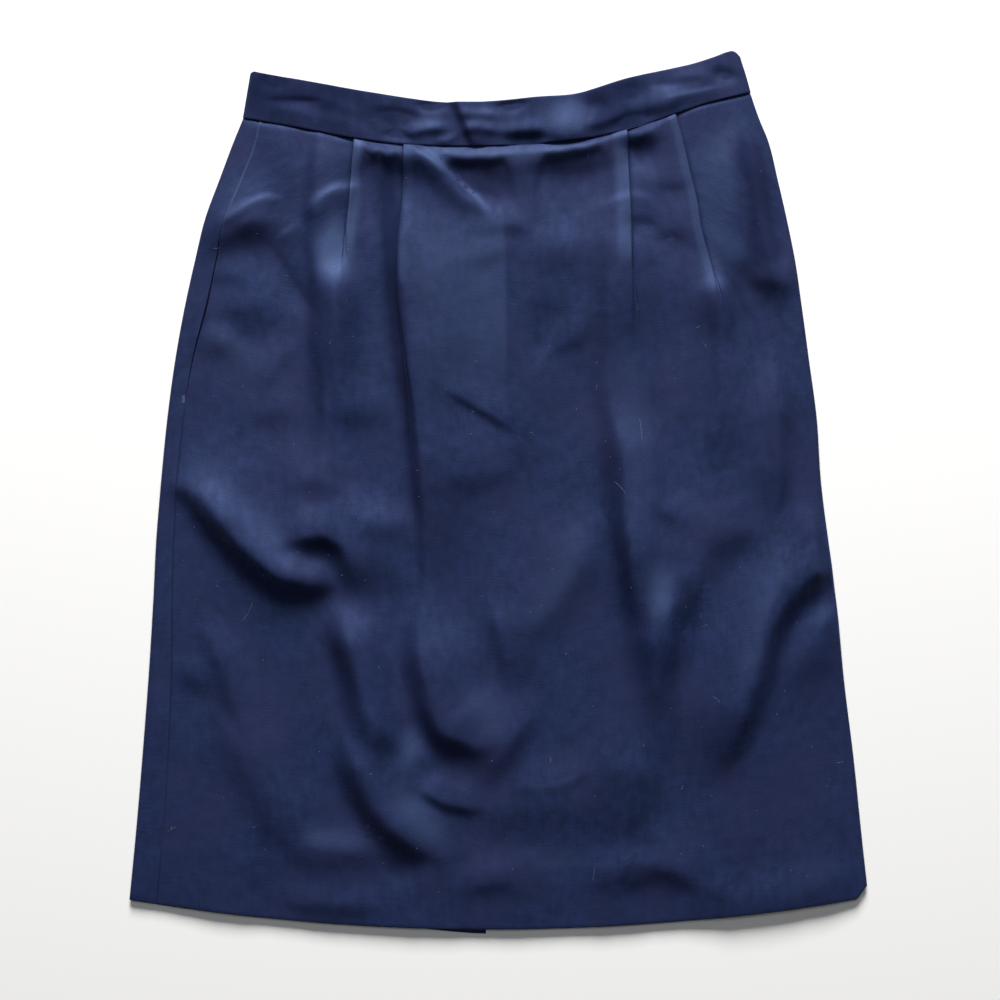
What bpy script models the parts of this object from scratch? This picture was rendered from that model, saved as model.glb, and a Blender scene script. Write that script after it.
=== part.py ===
"""A pencil skirt laid flat on its back, front panel up, with four soft knife pleats.

The skirt is a flattened tube. Each panel is a wall of cloth, swept along the tube from
the centre back, round the left edge, across the front, round the right edge and back to
the centre back. A row of the wall is one section across the skirt at one height, and its
faces are worked out from the sizes and tables below.

Frame: +X to the right of the front as it lies, +Y towards the waist, +Z up out of the
cloth. The origin is under the middle of the skirt, on the surface it lies on. Sizes are
in millimetres until the mesh is made, in metres.
"""

import math

import bpy
import numpy as np

MM = 0.001


def table(names, rows):
    """The rows as one array for each named column."""
    return dict(zip(names.split(), np.array(rows, float).T, strict=True))


# Cloth and layers
CLOTH = 1.0  # wall of a panel
BAND = 1.6  # wall of the waistband, two layers and a stiffener
GAP = 0.3  # between pieces at a seam, and between layers
BAND_GAP = 0.45  # from the waist seam's line up to the waistband
LAY = 3.3  # height of the underside of the front layer
ARCH = 1.0  # how much more it stands up half way across
HOLLOW = 0.6  # the most that a fold's hollow takes off that
FOLD_AT_EDGE = 0.35  # share of a fold's height that is left near the edges
EDGE_CALM, EDGE_SHARP = 0.86, 0.995  # where a fold has its whole height, and none
EDGE_TURN = (LAY + CLOTH) / 2  # from the middle of an edge's turn to its outside
HEM_DEPTH = 45.0  # turned up inside, so the wall is double there
PLEAT_STEP = 2 * (CLOTH + GAP)  # what a pressed pleat lifts the cloth on its inner side

# Outline as it lies: the left and right edges, and how far in from the left edge the
# left side seam lies on top. The right side seam lies as far in, on the underside.
EDGES = table(
    "y left right seam_in",
    [
        (-292, -266.0, 266.0, 19),
        (-251, -262.0, 261.5, 19),
        (-193, -257.0, 255.5, 18),
        (-136, -252.6, 248.5, 16),
        (-78, -249.0, 242.7, 13),
        (-35, -246.9, 237.0, 12),
        (8, -243.3, 231.9, 11),
        (52, -239.0, 229.0, 11),
        (95, -233.2, 223.3, 12),
        (138, -225.3, 217.5, 15),
        (167, -218.8, 213.2, 15),
        (196, -211.6, 207.4, 14),
        (224, -201.5, 201.0, 15),
        (253, -190.7, 193.8, 15),
        (269, -184.2, 187.3, 12),
        (288, -178.0, 180.8, 11),
    ],
)
WAIST_SEAM = table(
    "x y",
    [
        (-184, 269.0),
        (-146, 262.1),
        (-111, 255.4),
        (-70, 249.7),
        (-22, 248.0),
        (28, 249.7),
        (69, 254.6),
        (103, 263.5),
        (152, 280.1),
        (181, 287.3),
    ],
)
BAND_TOP = table(
    "x y",
    [
        (-178, 303.2),
        (-118, 292.4),
        (-84, 286.3),
        (-37, 279.9),
        (-8, 280.6),
        (28, 284.0),
        (54, 286.0),
        (94, 298.1),
        (124, 304.8),
        (140, 308.6),
        (156, 313.8),
        (165, 317.2),
        (168, 317.8),
        (170.5, 316.9),
        (174, 313.4),
    ],
)
BAND_TOP_LEFT, BAND_TOP_RIGHT = -178.5, 173.5
HEM_SIDE, HEM_SAG, HEM_HALF, HEM_TILT = -292.5, 22.0, 266.0, 1.0
HEM_CORNER, HEM_CORNER_RISE = 9.0, 8.0  # the cut corner at the right

# Pleats. The lip of each is a line down the front, and it faces away from the centre.
# depth is how far the cloth turns back under it at the waist, open where that has gone.
PLEATS = [
    {
        "side": -1,
        "depth": 16.0,
        "open": 176.0,
        "fade": 110.0,
        "lip": table("y x", [(-300, -118), (190, -110), (233, -106), (256, -104)]),
    },
    {
        "side": -1,
        "depth": 22.0,
        "open": 122.0,
        "fade": -20.0,
        "lip": table(
            "y x",
            [(-300, -52), (14, -60), (117, -70), (155, -73), (214, -69.5), (248, -68.5)],
        ),
    },
    {
        "side": 1,
        "depth": 22.0,
        "open": 140.0,
        "fade": 70.0,
        "lip": table("y x", [(-300, 104), (167, 95.5), (219, 94), (262, 92)]),
    },
    {
        "side": 1,
        "depth": 16.0,
        "open": 150.0,
        "fade": 95.0,
        "lip": table("y x", [(-300, 196), (152, 156), (207, 143), (254, 132), (272, 127)]),
    },
]
# A pleat's section has eight points from its inner side to its outer side. level is
# their height as a share of the step, turn how many wall radii each stands back from a
# lip, under is 1 where the point belongs to the inner end of the fold, and spread is how
# far apart they lie, in millimetres, once the pleat is open.
PLEAT_SECTION = table(
    "level turn under margin spread",
    [
        (1.00, 0, 1, -6, -26),
        (1.00, -1, 0, 0, -16),
        (0.75, 0, 0, 0, -9),
        (0.50, -1, 0, 0, -3),
        (0.50, 1, 1, 0, 3),
        (0.25, 0, 1, 0, 9),
        (0.00, 1, 1, 0, 16),
        (0.00, 0, 0, 6, 26),
    ],
)

# The largest folds of the front. Each is a soft ridge, or a trough where height is
# negative, along a line from one end to the other that bows out to its left by bow.
FOLDS = table(
    "x0 y0 x1 y1 bow width height",
    [
        (-236, 34, -118, -74, 8, 15, 11.0),  # across the left hip
        (-236, -8, -124, -80, -6, 12, -2.5),  # hollow below it
        (244, -66, 150, -212, -16, 15, 8.0),  # in from the right edge
        (242, -48, 168, -60, 10, 11, -2.0),  # hollow above it
        (-64, 150, -56, -60, 8, 12, 4.4),  # on from the second pleat
        (62, 150, 78, -80, 8, 22, 3.6),  # beside the centre
        (-72, 244, -6, 200, 4, 8, 3.0),  # under the waist seam
        (-92, -94, -78, -172, 4, 16, 5.0),  # lower left
        (-62, -110, -20, -196, -10, 14, -2.0),  # hollow beside it
        (-92, -206, -40, -262, 8, 16, 4.6),  # above the hem
        (110, -100, 96, -262, 6, 22, 4.0),  # lower right
        (176, 130, 190, -20, 4, 20, 3.2),  # right hip
        (-180, 190, -150, 60, 6, 20, 3.2),  # over the pocket
    ],
)

# Centre back, as it lies under the front: its seam and its vent
BACK_TOP_X, BACK_TOP_Y = -14.3, 248.0
BACK_HEM_X, BACK_HEM_Y = -9.3, -318.2
BACK_LENGTH = BACK_TOP_Y - BACK_HEM_Y
BACK_DROP, BACK_DROP_REACH = 3.4, 62.0  # the vent corner hangs lower than the hem
VENT_TOP, VENT_LAP = -138.0, 45.0
VENT_SLANT = 0.08  # share of the length over which the underlap widens
LAP_START, LAP_UP = 9.0, 1.2  # from the centre line, where an underlap steps up
HEM_CLEAR = 3.0, 1.0  # how far a turned-up hem ends before the underlap, and its step

# Waistband and its fastening
UNDERLAP = 30.0
BAND_SOFT = 20.0  # each side of a pleat, where the band rises over it
BACK_BAND_LOWER = 1.5
BAND_STATIONS = 34
BUTTON_RADIUS, BUTTON_THICK, BUTTON_SIDES = 7.5, 2.2, 24
BUTTON_IN = 13.0  # from the end of the band
BUTTON_UP = 16.0  # from the waist seam
BUTTON_TOP = 2.4
CLOSURE_RISE = 3.2  # room under the cloth for the button and the pull tab
CLOSURE_HALF = 75.0
CLOSURE_FULL, CLOSURE_GONE = 20.0, 78.0  # below the waist seam

# Pocket in the left side seam
MOUTH_TOP, MOUTH_END, MOUTH_SOFT = 217.0, 64.0, 40.0
MOUTH_GAPE, MOUTH_LIFT = 2.2, 1.2
BAG_WALL, BAG_WIDTH, BAG_BOTTOM, BAG_CORNER = 1.6, 130.0, -8.0, 45.0
BAG_FROM_SEAM, BAG_FROM_WAIST = 1.0, 2.0
BAG_ROWS, BAG_COLUMNS = 9, 6

# Zip
ZIP_LENGTH, TAPE_WIDTH, TAPE_WALL = 180.0, 12.0, 1.0
TAPE_EDGE = 0.5  # from the centre line
TAPE_HEIGHT = 1.5 * CLOTH + GAP  # the middle of a tape, on the inside of its panel
TAPE_NOTCH, NOTCH_INNER, NOTCH_OUTER = 4.8, 7.5, 19.5  # the tape stands back by the slider
SLIDER_BELOW = 9.0  # from the waist seam to the middle of the slider
SLIDER_Y = BACK_TOP_Y - SLIDER_BELOW
SLIDER_WIDTH, SLIDER_LENGTH, SLIDER_BODY = 8.4, 11.0, 2.2
SLIDER_Z = CLOSURE_RISE + CLOTH + GAP
GAPE, GAPE_HALF = 1.5, 16.0  # the seam parts round the slider
BRIDGE_WIDTH, BRIDGE_WALL, BRIDGE_LENGTH = 2.0, 0.9, 6.0
PULL_BAR_Z, PULL_BAR_RADIUS, PULL_CLEAR = 2.3, 0.5, 0.3
PULL_LENGTH, PULL_WIDTH, PULL_WALL, PULL_TIP = 22.0, 6.0, 0.9, 4.2
PULL_EYE_WIDTH, PULL_EYE_LENGTH = 3.0, 5.0
PULL_SHOULDER = 1.5  # below the eye, where the tab is at its widest
HEAD_CUT, HEAD_CUT_LENGTH = 0.8, 0.5  # corners of the tab's head, and of its tip
TIP_CUT, TIP_CUT_LENGTH = 0.6, 1.2
EYE_CUT, EYE_CUT_FOOT = 0.3, 0.5  # corners of the eye at its bar, and at its foot
PULL_DROOP = 3.2  # degrees that the tab hangs down from level

# Outlines, as shares of a half width and a half length
SHIELD = [(-62, -100), (62, -100), (85, -30), (100, 50), (70, 100), (-70, 100), (-100, 50), (-85, -30)]
SHIELD_LEVELS = [(0.0, 0.88), (0.3, 1.0), (0.7, 1.0), (1.0, 0.88)]  # height, size
BUTTON_PROFILE = [(0.55, 0.15), (0.62, 0.0), (0.84, 0.0), (1.0, 0.3), (1.0, 0.65), (0.8, 1.0)]

# Detail of the meshes
ROWS, ROW_CROWDING = 22, 1.2
ROW_BEFORE = 0.006  # a share of the length, before a step in the wall
EDGE_STEPS = 4
FRONT_FILLS = (4, 1, 6, 1, 4)  # columns between the seam, the pleats and the edge
BACK_OFFSETS = (13.0, 46.5, 48.5)  # columns near the centre back
BACK_FILL = 6
TOP_COLUMNS = 3  # of the left back panel, on top of the skirt
LAP_COLUMNS = 3
VENT_SHARE = (BACK_TOP_Y - VENT_TOP) / BACK_LENGTH
HEM_SHARE = 1 - HEM_DEPTH / BACK_LENGTH
SETTLE = 4  # rounds in which the places and heights of a panel's points agree


def smooth(start, end, value):
    """0 at start, 1 at end, with a soft start and finish. start may be above end."""
    t = np.clip((value - start) / (end - start), 0.0, 1.0)
    return t * t * (3 - 2 * t)


def curve(xs, ys, x):
    """A smooth line through the points: a cubic in each span, with the slope at a point
    that of the line through its neighbours."""
    slopes = np.gradient(ys, xs)
    i = np.clip(np.searchsorted(xs, x) - 1, 0, len(xs) - 2)
    span = xs[i + 1] - xs[i]
    t = np.clip((x - xs[i]) / span, -0.2, 1.2)
    first, last = slopes[i] * span, slopes[i + 1] * span
    line = ys[i] * (1 + 2 * t) * (1 - t) ** 2 + ys[i + 1] * (3 - 2 * t) * t**2
    return line + first * t * (1 - t) ** 2 - last * t**2 * (1 - t)


def left_edge(y):
    return curve(EDGES["y"], EDGES["left"], y)


def right_edge(y):
    return curve(EDGES["y"], EDGES["right"], y)


def seam_in(y):
    return curve(EDGES["y"], EDGES["seam_in"], y)


def waist(x):
    return curve(WAIST_SEAM["x"], WAIST_SEAM["y"], x)


def band_top(x):
    return curve(BAND_TOP["x"], BAND_TOP["y"], x)


def front_hem(x):
    """A shallow arc, with the right corner cut off."""
    arc = HEM_SIDE - HEM_SAG * (1 - (x / HEM_HALF) ** 2) + HEM_TILT * x / HEM_HALF
    return arc + HEM_CORNER_RISE * smooth(HEM_HALF - HEM_CORNER, HEM_HALF, x)


def back_hem(x):
    """The same arc, except near the vent, where the left panel hangs lower."""
    drop = BACK_DROP * smooth(BACK_HEM_X - BACK_DROP_REACH, BACK_HEM_X, x)
    return front_hem(x) - drop * (x < BACK_HEM_X)


def centre_back(y):
    return BACK_TOP_X + (BACK_HEM_X - BACK_TOP_X) * (BACK_TOP_Y - y) / BACK_LENGTH


def gape(y):
    """How far each side of the centre back seam stands back round the slider."""
    return GAPE * np.clip(1 - ((SLIDER_Y - y) / GAPE_HALF) ** 2, 0, 1)


def folds(x, y):
    """The sum of the folds. Along its line a fold swells and fades as a squared sine,
    and across it falls off as a bell."""
    height = np.zeros(np.broadcast(x, y).shape)
    for x0, y0, x1, y1, bow, width, top in zip(*FOLDS.values(), strict=True):
        length = math.hypot(x1 - x0, y1 - y0)
        ux, uy = (x1 - x0) / length, (y1 - y0) / length
        along = np.clip(((x - x0) * ux + (y - y0) * uy) / length, 0, 1)
        across = (y - y0) * ux - (x - x0) * uy - bow * 4 * along * (1 - along)
        height += top * np.sin(math.pi * along) ** 2 * np.exp(-((across / width) ** 2))
    return height


def front_bottom(x, y):
    """The height of the underside of the front layer, before its pleats lift it."""
    left, right = left_edge(y), right_edge(y)
    share = np.clip((2 * x - left - right) / (right - left), -1, 1)
    inside = smooth(1.0, EDGE_CALM, np.abs(share))
    folded = np.maximum(folds(x, y), -HOLLOW) * (FOLD_AT_EDGE + (1 - FOLD_AT_EDGE) * inside)
    return LAY + ARCH * (1 - share**2) + folded * smooth(1.0, EDGE_SHARP, np.abs(share))


def closure_rise(x, y):
    """How far the back layer stands off the surface at the top of the centre back."""
    across = np.clip((x - BACK_TOP_X) / CLOSURE_HALF, -1, 1)
    rise = smooth(CLOSURE_GONE, CLOSURE_FULL, BACK_TOP_Y - y)
    return CLOSURE_RISE * (1 - across**2) ** 2 * rise


def pleat_step(pleat, y):
    return PLEAT_STEP * smooth(pleat["fade"], pleat["open"], y)


def lift_outside(number, y):
    """What the pleats further from the centre lift the cloth at the foot of this one."""
    side = PLEATS[number]["side"]
    further = PLEATS[:number] if side < 0 else PLEATS[number + 1 :]
    return sum((pleat_step(p, y) for p in further if p["side"] == side), 0 * y)


def pleat_section(number, y):
    """The eight columns of a pleat from left to right: their place and their lift."""
    pleat, s = PLEATS[number], PLEAT_SECTION
    depth = pleat["depth"] * smooth(pleat["open"], BACK_TOP_Y, y)
    loose = smooth(BACK_TOP_Y, pleat["fade"], y)
    away = s["turn"] * PLEAT_STEP / 4 - s["under"] * depth + s["margin"] + s["spread"] * loose
    lip = curve(pleat["lip"]["y"], pleat["lip"]["x"], y)
    across = lip + pleat["side"] * away
    lift = lift_outside(number, y) + s["level"] * pleat_step(pleat, y)
    return (across, lift) if pleat["side"] > 0 else (across[:, ::-1], lift[:, ::-1])


def edge_turn(x, top, bottom, side):
    """Columns round the turn of an edge, between a point of the front layer above it and
    one of the back layer below. side is 1 at the right edge and -1 at the left."""
    angle = np.arange(1, EDGE_STEPS) * math.pi / EDGE_STEPS
    radius = (top - bottom) / 2
    across = x + side * radius * np.sin(angle)
    height = bottom + radius * (1 + np.cos(angle))
    return across[..., ::side], height[..., ::side]


def between(first, last, count):
    """count columns between two columns, evenly spaced."""
    return first + (last - first) * np.arange(1, count + 1) / (count + 1)


def front_section(y):
    """The front panel, from the left side seam over its pleats and round the right edge
    to the right side seam: the place and height of each column."""
    points = len(PLEAT_SECTION["level"])
    edge = y[:, :1]
    mouth = smooth(MOUTH_TOP, MOUTH_TOP - MOUTH_SOFT, edge)
    mouth *= smooth(MOUTH_END, MOUTH_END + MOUTH_SOFT, edge)
    seam = left_edge(edge) + seam_in(edge) + GAP / 2
    groups = [(seam + MOUTH_GAPE * mouth, MOUTH_LIFT * mouth)]
    column = 1 + FRONT_FILLS[0]
    for number, fill in enumerate(FRONT_FILLS[1:]):
        groups.append(pleat_section(number, y[:, column : column + points]))
        column += points + fill
    edge = y[:, column : column + 1]
    groups.append((right_edge(edge) - EDGE_TURN, 0 * edge))
    across, lift = [groups[0][0]], [groups[0][1]]
    for before, after, fill in zip(groups, groups[1:], FRONT_FILLS, strict=False):
        for kept, old, new in zip((across, lift), before, after, strict=True):
            kept += [between(old[:, -1:], new[:, :1], fill), new]
    across, lift = np.hstack(across), np.hstack(lift)
    height = front_bottom(across, y[:, : across.shape[1]]) + lift + CLOTH / 2
    low = np.full_like(edge, CLOTH / 2)
    turn_x, turn_z = edge_turn(across[:, -1:], height[:, -1:], low, 1)
    under = right_edge(y[:, -2:])
    under[:, :1] -= EDGE_TURN
    under[:, 1:] -= seam_in(y[:, -1:]) - GAP / 2
    return np.hstack([across, turn_x, under]), np.hstack([height, turn_z, low, low])


def back_left_section(y):
    """From the centre back under the skirt, round the left edge to the left side seam."""
    offsets = np.array([0, *BACK_OFFSETS])
    near_y = y[:, : len(offsets)]
    near = centre_back(near_y) - GAP / 2 - gape(near_y) * (offsets == 0) - offsets
    edge = y[:, -(EDGE_STEPS + TOP_COLUMNS)][:, None]
    last = left_edge(edge) + EDGE_TURN
    flat = np.hstack([near, between(near[:, -1:], last, BACK_FILL), last])
    low = CLOTH / 2 + closure_rise(flat, y[:, : flat.shape[1]])
    top_y = y[:, -TOP_COLUMNS:]
    share = np.linspace(0, 1, TOP_COLUMNS)
    top = left_edge(top_y) + EDGE_TURN + (seam_in(top_y) - EDGE_TURN - GAP / 2) * share
    high = front_bottom(top, top_y) + CLOTH / 2
    turn_x, turn_z = edge_turn(last, high[:, :1], low[:, -1:], -1)
    return np.hstack([flat, turn_x, top]), np.hstack([low, turn_z, high])


def back_right_section(y):
    """From the right side seam under the skirt to the centre back. Below the vent's top
    it steps up and runs on over the left panel, inside the skirt."""
    share = row_shares()[:, None]
    seam = right_edge(y[:, :1]) - seam_in(y[:, :1]) - GAP / 2
    near_y, lap_y = y[:, -2 * LAP_COLUMNS : -LAP_COLUMNS], y[:, -LAP_COLUMNS:]
    near = centre_back(near_y) + LAP_START + (BACK_OFFSETS[1], BACK_OFFSETS[0], 0)
    out = VENT_LAP * smooth(VENT_SHARE, VENT_SHARE + VENT_SLANT, share)
    lap = centre_back(lap_y) + (LAP_UP, LAP_UP / 2, GAP / 2) - out * (0, 0.5, 1)
    flat = np.hstack([seam, between(seam, near[:, :1], BACK_FILL), near, lap + gape(lap_y)])
    height = CLOTH / 2 + closure_rise(flat, y)
    height[:, -LAP_COLUMNS:] += (CLOTH + GAP) * (share >= VENT_SHARE)
    return flat, height


def row_shares():
    """How far down the skirt each row lies, as a share: closer together at the waist,
    with rows of their own where the vent opens and where the hem is turned up."""
    crowded = np.linspace(0, 1, ROWS) ** ROW_CROWDING
    steps = [VENT_SHARE - ROW_BEFORE, VENT_SHARE, HEM_SHARE - ROW_BEFORE, HEM_SHARE]
    return np.sort([*crowded, *steps])


def panel(name, columns, section, hem, doubled, material):
    """A panel of cloth from its section: rows run from the waist seam to its hem, and in
    the hem's depth its wall is double where doubled says."""
    share = row_shares()[:, None]
    y = BACK_TOP_Y - BACK_LENGTH * share * np.ones(columns)
    for _ in range(SETTLE):
        x, z = section(y)
        y = (waist(x[0]) - GAP / 2) * (1 - share) + hem(x[-1]) * share
    inner = CLOTH / 2 + CLOTH * (share >= HEM_SHARE) * doubled(x)
    wall(name, np.stack([x, y, z], axis=2), inner, CLOTH / 2, material)


def wall(name, middle, inner, outer, material):
    """A closed wall round a grid of points. It stands outer beyond them on the side that
    the section faces, at the left of its direction, and inner on the other side."""
    step = np.diff(middle[:, :, [0, 2]], axis=1)
    step /= np.linalg.norm(step, axis=2, keepdims=True)
    ahead = np.concatenate([step, step[:, -1:]], axis=1)
    behind = np.concatenate([step[:, :1], step], axis=1)
    along = ahead + behind
    along /= np.linalg.norm(along, axis=2, keepdims=True)
    normal = np.stack([-along[:, :, 1], 0 * along[:, :, 0], along[:, :, 0]], axis=2)
    inner = np.broadcast_to(inner, middle.shape[:2])[..., None]
    points = [middle + normal * outer, middle - normal * inner]
    rows, columns = middle.shape[:2]
    ids = np.arange(rows * columns).reshape(rows, columns)
    below = rows * columns
    rim = np.concatenate([ids[0, :-1], ids[:-1, -1], ids[-1, :0:-1], ids[:0:-1, 0]])
    after = np.roll(rim, -1)
    sides = np.stack([rim, after, after + below, rim + below], axis=1)
    faces = [*grid_faces(ids), *grid_faces(ids + below)[:, ::-1], *sides]
    add_mesh(name, np.concatenate([p.reshape(-1, 3) for p in points]), faces, material)


def grid_faces(ids):
    """Four-sided faces between the rows of a grid whose first row is nearest the waist."""
    corners = [ids[:-1, :-1], ids[1:, :-1], ids[1:, 1:], ids[:-1, 1:]]
    return np.stack(corners, axis=-1).reshape(-1, 4)


def add_mesh(name, points, faces, material):
    mesh = bpy.data.meshes.new(name)
    mesh.from_pydata((np.asarray(points) * MM).tolist(), [], [list(map(int, f)) for f in faces])
    mesh.update()
    mesh.materials.append(material)
    part = bpy.data.objects.new(name, mesh)
    bpy.context.scene.collection.objects.link(part)
    return part


def make_material(name, colour, roughness, metallic=0.0):
    material = bpy.data.materials.new(name)
    material.use_nodes = True
    shader = material.node_tree.nodes["Principled BSDF"]
    shader.inputs["Base Color"].default_value = (*colour, 1.0)
    shader.inputs["Roughness"].default_value = roughness
    shader.inputs["Metallic"].default_value = metallic
    return material


def front_panel(cloth):
    columns = 2 + 4 * len(PLEAT_SECTION["level"]) + sum(FRONT_FILLS) + EDGE_STEPS - 1 + 2
    panel("front_panel", columns, front_section, front_hem, lambda x: x < np.inf, cloth)


def back_panels(cloth):
    lap_end = BACK_HEM_X - VENT_LAP - HEM_CLEAR[0]
    flat = len(BACK_OFFSETS) + BACK_FILL + 2

    def left_hem(x):
        under = np.arange(len(x)) < flat
        return np.where(under, back_hem(x), front_hem(x))

    columns = flat + EDGE_STEPS - 1 + TOP_COLUMNS
    panel("back_left", columns, back_left_section, left_hem, lambda x: x < lap_end, cloth)
    columns = 1 + BACK_FILL + 2 * LAP_COLUMNS
    clear = BACK_HEM_X + LAP_START - HEM_CLEAR[1]
    panel("back_right", columns, back_right_section, front_hem, lambda x: x > clear, cloth)


def band_lift(x):
    """The front of the waistband lies on the pleats, and rises softly over each."""
    lift = 0 * x
    for pleat in PLEATS:
        lip = pleat["lip"]["x"][-1]
        lift -= pleat["side"] * PLEAT_STEP * smooth(lip - BAND_SOFT, lip + BAND_SOFT, x)
    return lift


def waistband(cloth):
    """A strip swept from its end at the centre back, round the left edge, over the front
    and round the right edge to the underlap, which lies inside that end."""
    left, right, middle = WAIST_SEAM["x"][0], WAIST_SEAM["x"][-1], BACK_TOP_X
    turn = (LAY + BAND) / 2
    low, high = BAND / 2, LAY + BAND / 2
    share = np.linspace(0, 1, BAND_STATIONS)
    first = middle - GAP / 2
    to_left = first + (left + turn - first) * share[::3]
    front = left + turn + (right - left - 2 * turn) * share
    from_right = right - turn + (middle + LAP_START - right + turn) * share[::3]
    lap = middle - np.array([-LAP_UP, UNDERLAP / 2, UNDERLAP])
    left_x, left_z = edge_turn(front[0], high, low, -1)
    right_x, right_z = edge_turn(front[-1], high, low, 1)
    runs = [
        (to_left, low + closure_rise(to_left, BACK_TOP_Y), BACK_BAND_LOWER),
        (left_x, left_z, BACK_BAND_LOWER),
        (front, high + band_lift(front), 0.0),
        (right_x, right_z, BACK_BAND_LOWER),
        (from_right, low + closure_rise(from_right, BACK_TOP_Y), BACK_BAND_LOWER),
        (lap, low + closure_rise(lap, BACK_TOP_Y) + BAND + GAP, BACK_BAND_LOWER),
    ]
    x = np.concatenate([run[0] for run in runs])
    z = np.concatenate([run[1] for run in runs])
    lower = np.concatenate([np.full(len(run[0]), run[2]) for run in runs])
    top_x = BAND_TOP_LEFT + (BAND_TOP_RIGHT - BAND_TOP_LEFT) * (x - left) / (right - left)
    top_y = band_top(top_x) - lower
    down = np.linspace(0, 1, 3)[:, None]
    across, up = top_x + (x - top_x) * down, top_y + (waist(x) + BAND_GAP - top_y) * down
    wall("waistband", np.stack([across, up, z + 0 * down], axis=2), BAND / 2, BAND / 2, cloth)


def pocket_bag(lining):
    """The bag lies on the back panel, from the waist seam down, with its edge along the
    side seam. It is made from that panel's points, moved out."""
    down = np.linspace(0, 1, BAG_ROWS)[:, None]
    share = np.linspace(0, 1, BAG_COLUMNS)
    y = BACK_TOP_Y + (BAG_BOTTOM - BACK_TOP_Y) * down * np.ones(BAG_COLUMNS)
    for _ in range(SETTLE):
        reach = np.clip(1 - (y - BAG_BOTTOM) / BAG_CORNER, 0, 1)
        corner = BAG_CORNER * (1 - np.sqrt(1 - reach**2))
        first = left_edge(y) + seam_in(y) + BAG_FROM_SEAM + corner / 2
        x = first + (BAG_WIDTH - 1.5 * corner) * share
        y = (waist(x[0]) - BAG_FROM_WAIST) * (1 - down) + BAG_BOTTOM * down
    z = CLOTH + GAP + BAG_WALL / 2 + closure_rise(x, y)
    wall("pocket_bag", np.stack([x, y, z], axis=2), BAG_WALL / 2, BAG_WALL / 2, lining)


def zip_tape(name, side, tape):
    """A tape lies on the inside of a back panel, beside the centre back seam."""
    y = BACK_TOP_Y - GAP / 2 - BACK_LENGTH * row_shares()[:, None]
    y = y[y[:, 0] > BACK_TOP_Y - ZIP_LENGTH]
    notch = smooth(NOTCH_OUTER, NOTCH_INNER, np.abs(SLIDER_Y - y))
    edge = TAPE_EDGE + (TAPE_NOTCH - TAPE_EDGE) * notch
    away = edge + (TAPE_WIDTH - edge) * np.linspace(0, 1, 3)
    x = (centre_back(y) + side * away)[:, ::-side]
    z = TAPE_HEIGHT + closure_rise(x, y)
    wall(name, np.stack([x, y + 0 * x, z], axis=2), TAPE_WALL / 2, TAPE_WALL / 2, tape)


def plate_ring(outline, eye, thickness):
    """Points and faces of a plate with one hole. The outline and the hole run the same
    way round and have as many points."""
    n = len(outline)
    half = thickness / 2
    points = [(*p, z) for z in (-half, half) for p in (*outline, *eye)]
    low, low_eye, high, high_eye = 0, n, 2 * n, 3 * n
    faces = []
    for i in range(n):
        j = (i + 1) % n
        faces.append((high + i, high + j, high_eye + j, high_eye + i))
        faces.append((low + j, low + i, low_eye + i, low_eye + j))
        faces.append((low + i, low + j, high + j, high + i))
        faces.append((low_eye + j, low_eye + i, high_eye + i, high_eye + j))
    return np.array(points, float), faces


def stacked(rings):
    """Points and faces of a closed body from rings of equal count, lowest first."""
    n, last = len(rings[0]), len(rings) - 1
    faces = [list(range(n))[::-1], list(range(last * n, (last + 1) * n))]
    for level in range(last):
        for i in range(n):
            a, b = level * n + i, level * n + (i + 1) % n
            faces.append((a, b, b + n, a + n))
    return np.concatenate(rings), faces


def zip_slider(metal):
    """A body inside the cloth, joined to a bridge under it that the tab hangs on."""
    x = centre_back(SLIDER_Y)
    clear = PULL_BAR_RADIUS + PULL_CLEAR
    foot, head = PULL_BAR_Z - clear, PULL_BAR_Z + clear
    half, cut = BRIDGE_LENGTH / 2, BRIDGE_WALL / 2
    low, high = foot - BRIDGE_WALL, SLIDER_Z + SLIDER_BODY / 2
    outline = bridge_outline(half, low, high, cut)
    eye = bridge_outline(half - BRIDGE_WALL, foot, head, cut / 2)
    points, faces = plate_ring(outline, eye, BRIDGE_WIDTH)
    bridge = add_mesh("bridge_tool", points[:, [2, 0, 1]] + (x, SLIDER_Y, 0), faces, metal)
    bridge.hide_render = True
    bridge.display_type = "WIRE"
    plan = np.array(SHIELD) / 100 * (SLIDER_WIDTH / 2, SLIDER_LENGTH / 2)
    rings = []
    for up, size in SHIELD_LEVELS:
        height = np.full(len(plan), SLIDER_Z + SLIDER_BODY * up)
        rings.append(np.column_stack([plan * size + (x, SLIDER_Y), height]))
    body = add_mesh("zip_slider", *stacked(rings), metal)
    union = body.modifiers.new("bridge", "BOOLEAN")
    union.operation = "UNION"
    union.object = bridge


def bridge_outline(half, low, high, cut):
    """A rectangle with its two lower corners cut, along the zip and up."""
    lower = [(-half + cut, low), (half - cut, low), (half, low + cut)]
    return [*lower, (half, high), (-half, high), (-half, low + cut)]


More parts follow.
